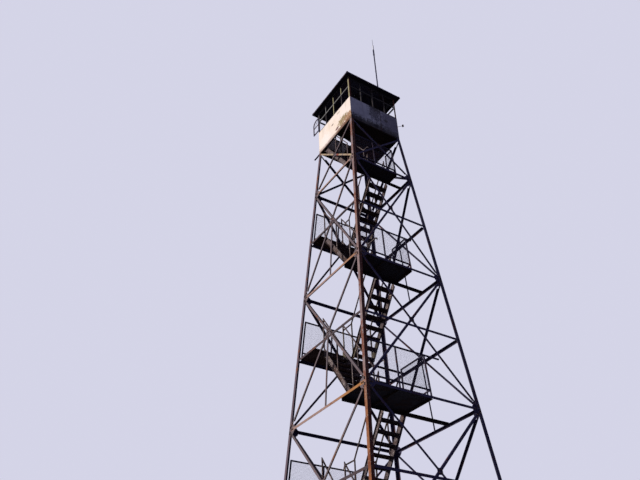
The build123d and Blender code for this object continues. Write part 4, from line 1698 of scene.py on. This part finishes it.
@dataclass
class Aerial:
    """The aerial on the mast: a sleeve, a white ribbed coil housing and a tapering whip."""

    sleeve_r: float = 0.034
    sleeve_h: float = 0.330
    foot_h: float = 0.050
    foot_step: float = 0.006
    neck_step: float = 0.012
    step_in: float = 0.90
    neck_r: float = 0.014
    neck_h: float = 0.012
    coil_r: float = 0.028
    coil_h: float = 0.280
    ribs: int = 14
    groove: float = 0.88
    whip_r: float = 0.007
    whip_taper: float = 0.75
    tip_h: float = 0.012
    tip: tuple[Rise, ...] = ((0.004, 1.3), (0.008, 0.5))
    mast_r: float = 0.024
    band_t: float = 0.004
    band_h: float = 0.028
    band_under: float = 0.040
    band_up: float = 0.160

    def sleeve(self) -> Part:
        """The sleeve with a clamped foot and the neck above it.

        Returns:
            The sleeve, standing on the origin.
        """
        sleeve = Part.rod(self.sleeve_r, self.foot_h)
        body = self.sleeve_h - self.foot_h - self.foot_step - self.neck_step
        sleeve.draw((self.foot_step, self.step_in), (body, 1.0),
                    (self.neck_step, self.neck_r / (self.sleeve_r * self.step_in)), (self.neck_h, 1.0))
        return sleeve.paint(Finish.PIPE)

    def coil(self) -> Part:
        """The ribbed housing of the coil.

        Returns:
            The housing over the sleeve.
        """
        coil = Part.rod(self.coil_r, self.coil_h)
        step = self.coil_h / (2 * self.ribs)
        with coil.edit("EDGE"):
            coil.edges(lambda a, b: abs(a.z - b.z) > self.coil_h / 2)
            bpy.ops.mesh.subdivide(number_cuts=2 * self.ribs - 1)
            coil.edges(lambda a, b: abs(a.z - b.z) < NEAR / 10 and round(a.z / step) % 2 == 1)
            coil.resize(self.groove)
        return coil.move(at(0.0, 0.0, self.sleeve_h + self.neck_h)).paint(Finish.COIL)

    def whip(self, foot: float, top: float) -> Part:
        """The thin rod above the coil, with a ball at its tip.

        Args:
            foot: The height of its foot over the mast.
            top: The height of its tip.

        Returns:
            The whip.
        """
        whip = Part.rod(self.whip_r, top - foot - self.tip_h, 10)
        whip.taper(self.whip_taper).draw(*self.tip)
        return whip.move(at(0.0, 0.0, foot)).paint(Finish.PIPE)

    def band(self, z: float) -> Part:
        """A clamp band round the mast."""
        return Part.rod(self.mast_r + self.band_t, self.band_h).ease(0.002).move(at(0.0, 0.0, z))

    def build(self) -> None:
        """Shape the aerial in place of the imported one, and band the mast."""
        low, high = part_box("antenna_whip")
        spot = at((low[0] + high[0]) / 2, (low[1] + high[1]) / 2, low[2])
        whip = self.whip(self.sleeve_h + self.neck_h + self.coil_h, high[2] - low[2])
        piece = Part.join([self.sleeve(), self.coil(), whip]).move(spot)
        piece.settle("aerial", "whip_coil", "antenna_whip")
        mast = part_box("antenna_mast")[0][2] - low[2]
        heights = (-self.band_under, 0.5 * mast, mast + self.band_up)
        bands = Part.join([self.band(z) for z in heights]).move(spot)
        bands.paint(Finish.PIPE).settle("mast_bands", "mast_pipe")


@dataclass
class RoofTrim:
    """The cover strips over the hips, and the folded seams of the four slopes."""

    width: float = 0.075
    thick: float = 0.004
    cap: float = 0.040
    rise: float = 0.700
    crease: float = 0.7
    hip_short: float = 0.03
    hip_over: float = 0.002
    hip_clear: float = 0.6
    seam_w: float = 0.014
    seam_h: float = 0.018
    seam_sunk: float = 0.002
    seam_eased: float = 0.003
    seam_short: float = 0.01
    cap_clear: float = 0.02
    seams: tuple[float, ...] = (-0.80, -0.40, 0.0, 0.40, 0.80)

    def hips(self, eave: float, top: float) -> Part:
        """The hip strips, each creased along its middle.

        Args:
            eave: How far the eaves are from the middle of the roof.
            top: The height of the roof's cap.

        Returns:
            The four strips.
        """
        reach = (eave - self.cap) * math.sqrt(2)
        slope = math.atan2(self.rise, reach)
        length = math.hypot(self.rise, reach) - self.hip_short
        strip = Part.block((0.0, -self.width / 2, 0.0), (length, self.width / 2, self.thick))
        with strip.edit("EDGE"):
            bpy.ops.mesh.select_all(action="SELECT")
            bpy.ops.mesh.bisect(plane_co=(0.0, 0.0, 0.0), plane_no=(0.0, 1.0, 0.0))
            strip.edges(lambda a, b: abs(a.y) < NEAR / 100 and abs(b.y) < NEAR / 100)
            fold = self.width / 2 * math.tan(slope) * self.crease
            bpy.ops.transform.translate(value=(0.0, 0.0, fold))
        start = at(self.cap * math.sqrt(2), 0.0, top + self.hip_over)
        return strip.copies(turn((i + 0.5) * QUARTER) @ start @ turn(slope, "Y") for i in range(4))

    def seam(self, eave: float, top: float, across: float) -> Part:
        """A folded seam up the right-hand slope, from the eave to the hip or the cap.

        Args:
            eave: How far the eaves are from the middle of the roof.
            top: The height of the roof's cap.
            across: Where it is along the eave.

        Returns:
            The seam.
        """
        inner = max(abs(across) + self.width * self.hip_clear, self.cap + self.cap_clear)
        pitch = math.atan2(self.rise, eave - self.cap)
        length = (eave - inner - self.seam_short) / math.cos(pitch)
        half = self.seam_w / 2
        seam = Part.block((0.0, -half, -self.seam_sunk), (length, half, self.seam_h)).ease(self.seam_eased)
        return seam.move(at(inner, across, top - (inner - self.cap) * math.tan(pitch)) @ turn(pitch, "Y"))

    def build(self) -> None:
        """Shape the hips and the seams."""
        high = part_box("roof")[1]
        eave, top = high[0], high[2] - self.thick
        parts = [self.hips(eave, top)]
        parts += [self.seam(eave, top, x).move(turn(i * QUARTER)) for i in range(4) for x in self.seams]
        Part.join(parts).paint(Finish.ROOF).settle("roof_trim", "roof_paint")


@dataclass
class Footings:
    """The four concrete footings and the anchor nuts on the shoes."""

    size: float = 0.600
    taper: float = math.radians(4)
    edge: float = 0.014
    ground: float = 0.01
    rough: float = 0.0025
    nut_at: float = 0.108

    def pier(self, x: float, y: float) -> Part:
        """One footing: tapered, its edges worn and its faces uneven.

        Args:
            x: Its middle along X.
            y: Its middle along Y.

        Returns:
            The footing.
        """
        half = self.size / 2
        pier = Part.block((x - half, y - half, 0.0), (x + half, y + half, PLAN.pier_h))
        with pier.edit("EDGE"):
            pier.edges(lambda a, b: min(a.z, b.z) > self.ground)
            pier.resize(1 - PLAN.pier_h * math.tan(self.taper) / half, (x, y, 0.0))
            pier.edges(lambda a, b: max(a.z, b.z) > self.ground)
            bpy.ops.mesh.bevel(offset=self.edge, segments=2, affect="EDGES")
            bpy.ops.mesh.select_all(action="SELECT")
            bpy.ops.mesh.subdivide(number_cuts=3)
        with pier.edit("VERT"):
            pier.points(lambda p: self.ground < p.z < PLAN.pier_h - NEAR)
            bpy.ops.transform.vertex_random(offset=self.rough, seed=5)
        return pier

    def build(self) -> None:
        """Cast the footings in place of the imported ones, and set the nuts."""
        heel = PLAN.base_half - PLAN.leg_w / 2
        feet = [(x, y) for x in (heel, -heel) for y in (heel, -heel)]
        piece = Part.join([self.pier(x, y) for x, y in feet])
        piece.paint(Finish.CONCRETE).settle("footings", "footing_concrete", "concrete_piers")
        steps = (-self.nut_at, self.nut_at)
        spots = [(x + dx, y + dy) for x, y in feet for dx in steps for dy in steps]
        nuts = Bolts().master().copies(at(x, y, PLAN.foot_z) for x, y in spots)
        nuts.paint(Finish.BOLT).settle("anchor_nuts", "tower_steel")


# Stage
@dataclass
class Studio:
    """The floor, the light and the camera."""

    focal_px: float = 658.77
    frame_w: int = 640
    sensor: float = 36.0
    azimuth: float = 0.9046
    distance: float = 17.424
    height: float = 1.685
    yaw: float = 0.0897
    pitch: float = 0.6548
    roll: float = -0.0314
    far: float = 400.0
    floor_size: float = 160.0
    floor_seen: Color = (0.88, 0.88, 0.95)
    floor_lit: Color = (0.06, 0.06, 0.07)
    sun_from: Point = (-0.50, -0.85, 0.42)
    sun_power: float = 3.9
    sun_angle: float = math.radians(9.0)
    sun_color: Color = (1.0, 0.95, 0.88)
    sky: Color = (0.66, 0.66, 0.80)
    fill: Color = (0.64, 0.65, 1.0)
    fill_power: float = 0.24

    def camera(self) -> None:
        """Set the camera where the photograph was taken from."""
        data = bpy.data.cameras.new("camera")
        data.sensor_width = self.sensor
        data.lens = self.focal_px / self.frame_w * self.sensor
        data.clip_end = self.far
        eye = bpy.data.objects.new("camera", data)
        bpy.context.scene.collection.objects.link(eye)
        a = self.azimuth + self.yaw
        ahead = Vector((-math.sin(a) * math.cos(self.pitch), math.cos(a) * math.cos(self.pitch),
                        math.sin(self.pitch)))
        level = Vector((math.cos(a), math.sin(a), 0.0))
        above = level.cross(ahead)
        right = math.cos(self.roll) * level + math.sin(self.roll) * above
        up = -math.sin(self.roll) * level + math.cos(self.roll) * above
        spot = (self.distance * math.sin(self.azimuth), -self.distance * math.cos(self.azimuth), self.height)
        eye.matrix_world = at(*spot) @ Matrix((right, up, -ahead)).transposed().to_4x4()
        bpy.context.scene.camera = eye

    def seen(self, graph: Graph) -> Value:
        """One for rays that show the background, nought for rays that light the tower."""
        path = graph.parts("LightPath")
        return path["Is Camera Ray"].most(path["Is Glossy Ray"]).most(path["Is Transmission Ray"])

    def floor(self) -> None:
        """Lay a plain pale floor."""
        Part.clear()
        bpy.ops.mesh.primitive_plane_add(size=self.floor_size, location=(0.0, 0.0, 0.0))
        floor = bpy.context.object
        floor.name = "studio_floor"
        coat = Coat("studio_floor")
        tone = coat.mix(self.seen(coat), self.floor_lit, self.floor_seen)
        floor.data.materials.append(coat.close(tone, 0.95, specular=0.0))

    def light(self) -> None:
        """One soft key from the front left and a weak even fill."""
        data = bpy.data.lights.new("key", "SUN")
        data.energy = self.sun_power
        data.angle = self.sun_angle
        data.color = self.sun_color
        key = bpy.data.objects.new("key", data)
        bpy.context.scene.collection.objects.link(key)
        key.rotation_mode = "QUATERNION"
        key.rotation_quaternion = Vector(self.sun_from).to_track_quat("Z", "Y")
        world = bpy.data.worlds.new("studio")
        bpy.context.scene.world = world
        world.use_nodes = True
        graph = Graph(world.node_tree)
        back = world.node_tree.nodes["Background"]
        seen = self.seen(graph)
        graph.feed(back, "Color", graph.mix(seen, self.fill, self.sky))
        graph.feed(back, "Strength", seen * (1.0 - self.fill_power) + self.fill_power)

    def build(self) -> None:
        """Set up the whole stage."""
        bpy.context.scene.view_settings.view_transform = "Standard"
        self.floor()
        self.light()
        self.camera()


def main() -> None:
    """Dress the tower, piece by piece, and set the stage."""
    logging.basicConfig(level=logging.INFO, format="%(name)s %(message)s")
    dress_nodes()
    for made in (Bolts, StairBolts, EdgeStrips, GuardMesh, Floor, Cladding, WindowRow, Sash, Knob, Aerial,
                 RoofTrim, Footings, Studio):
        made().build()


if __name__ == "__main__":
    main()
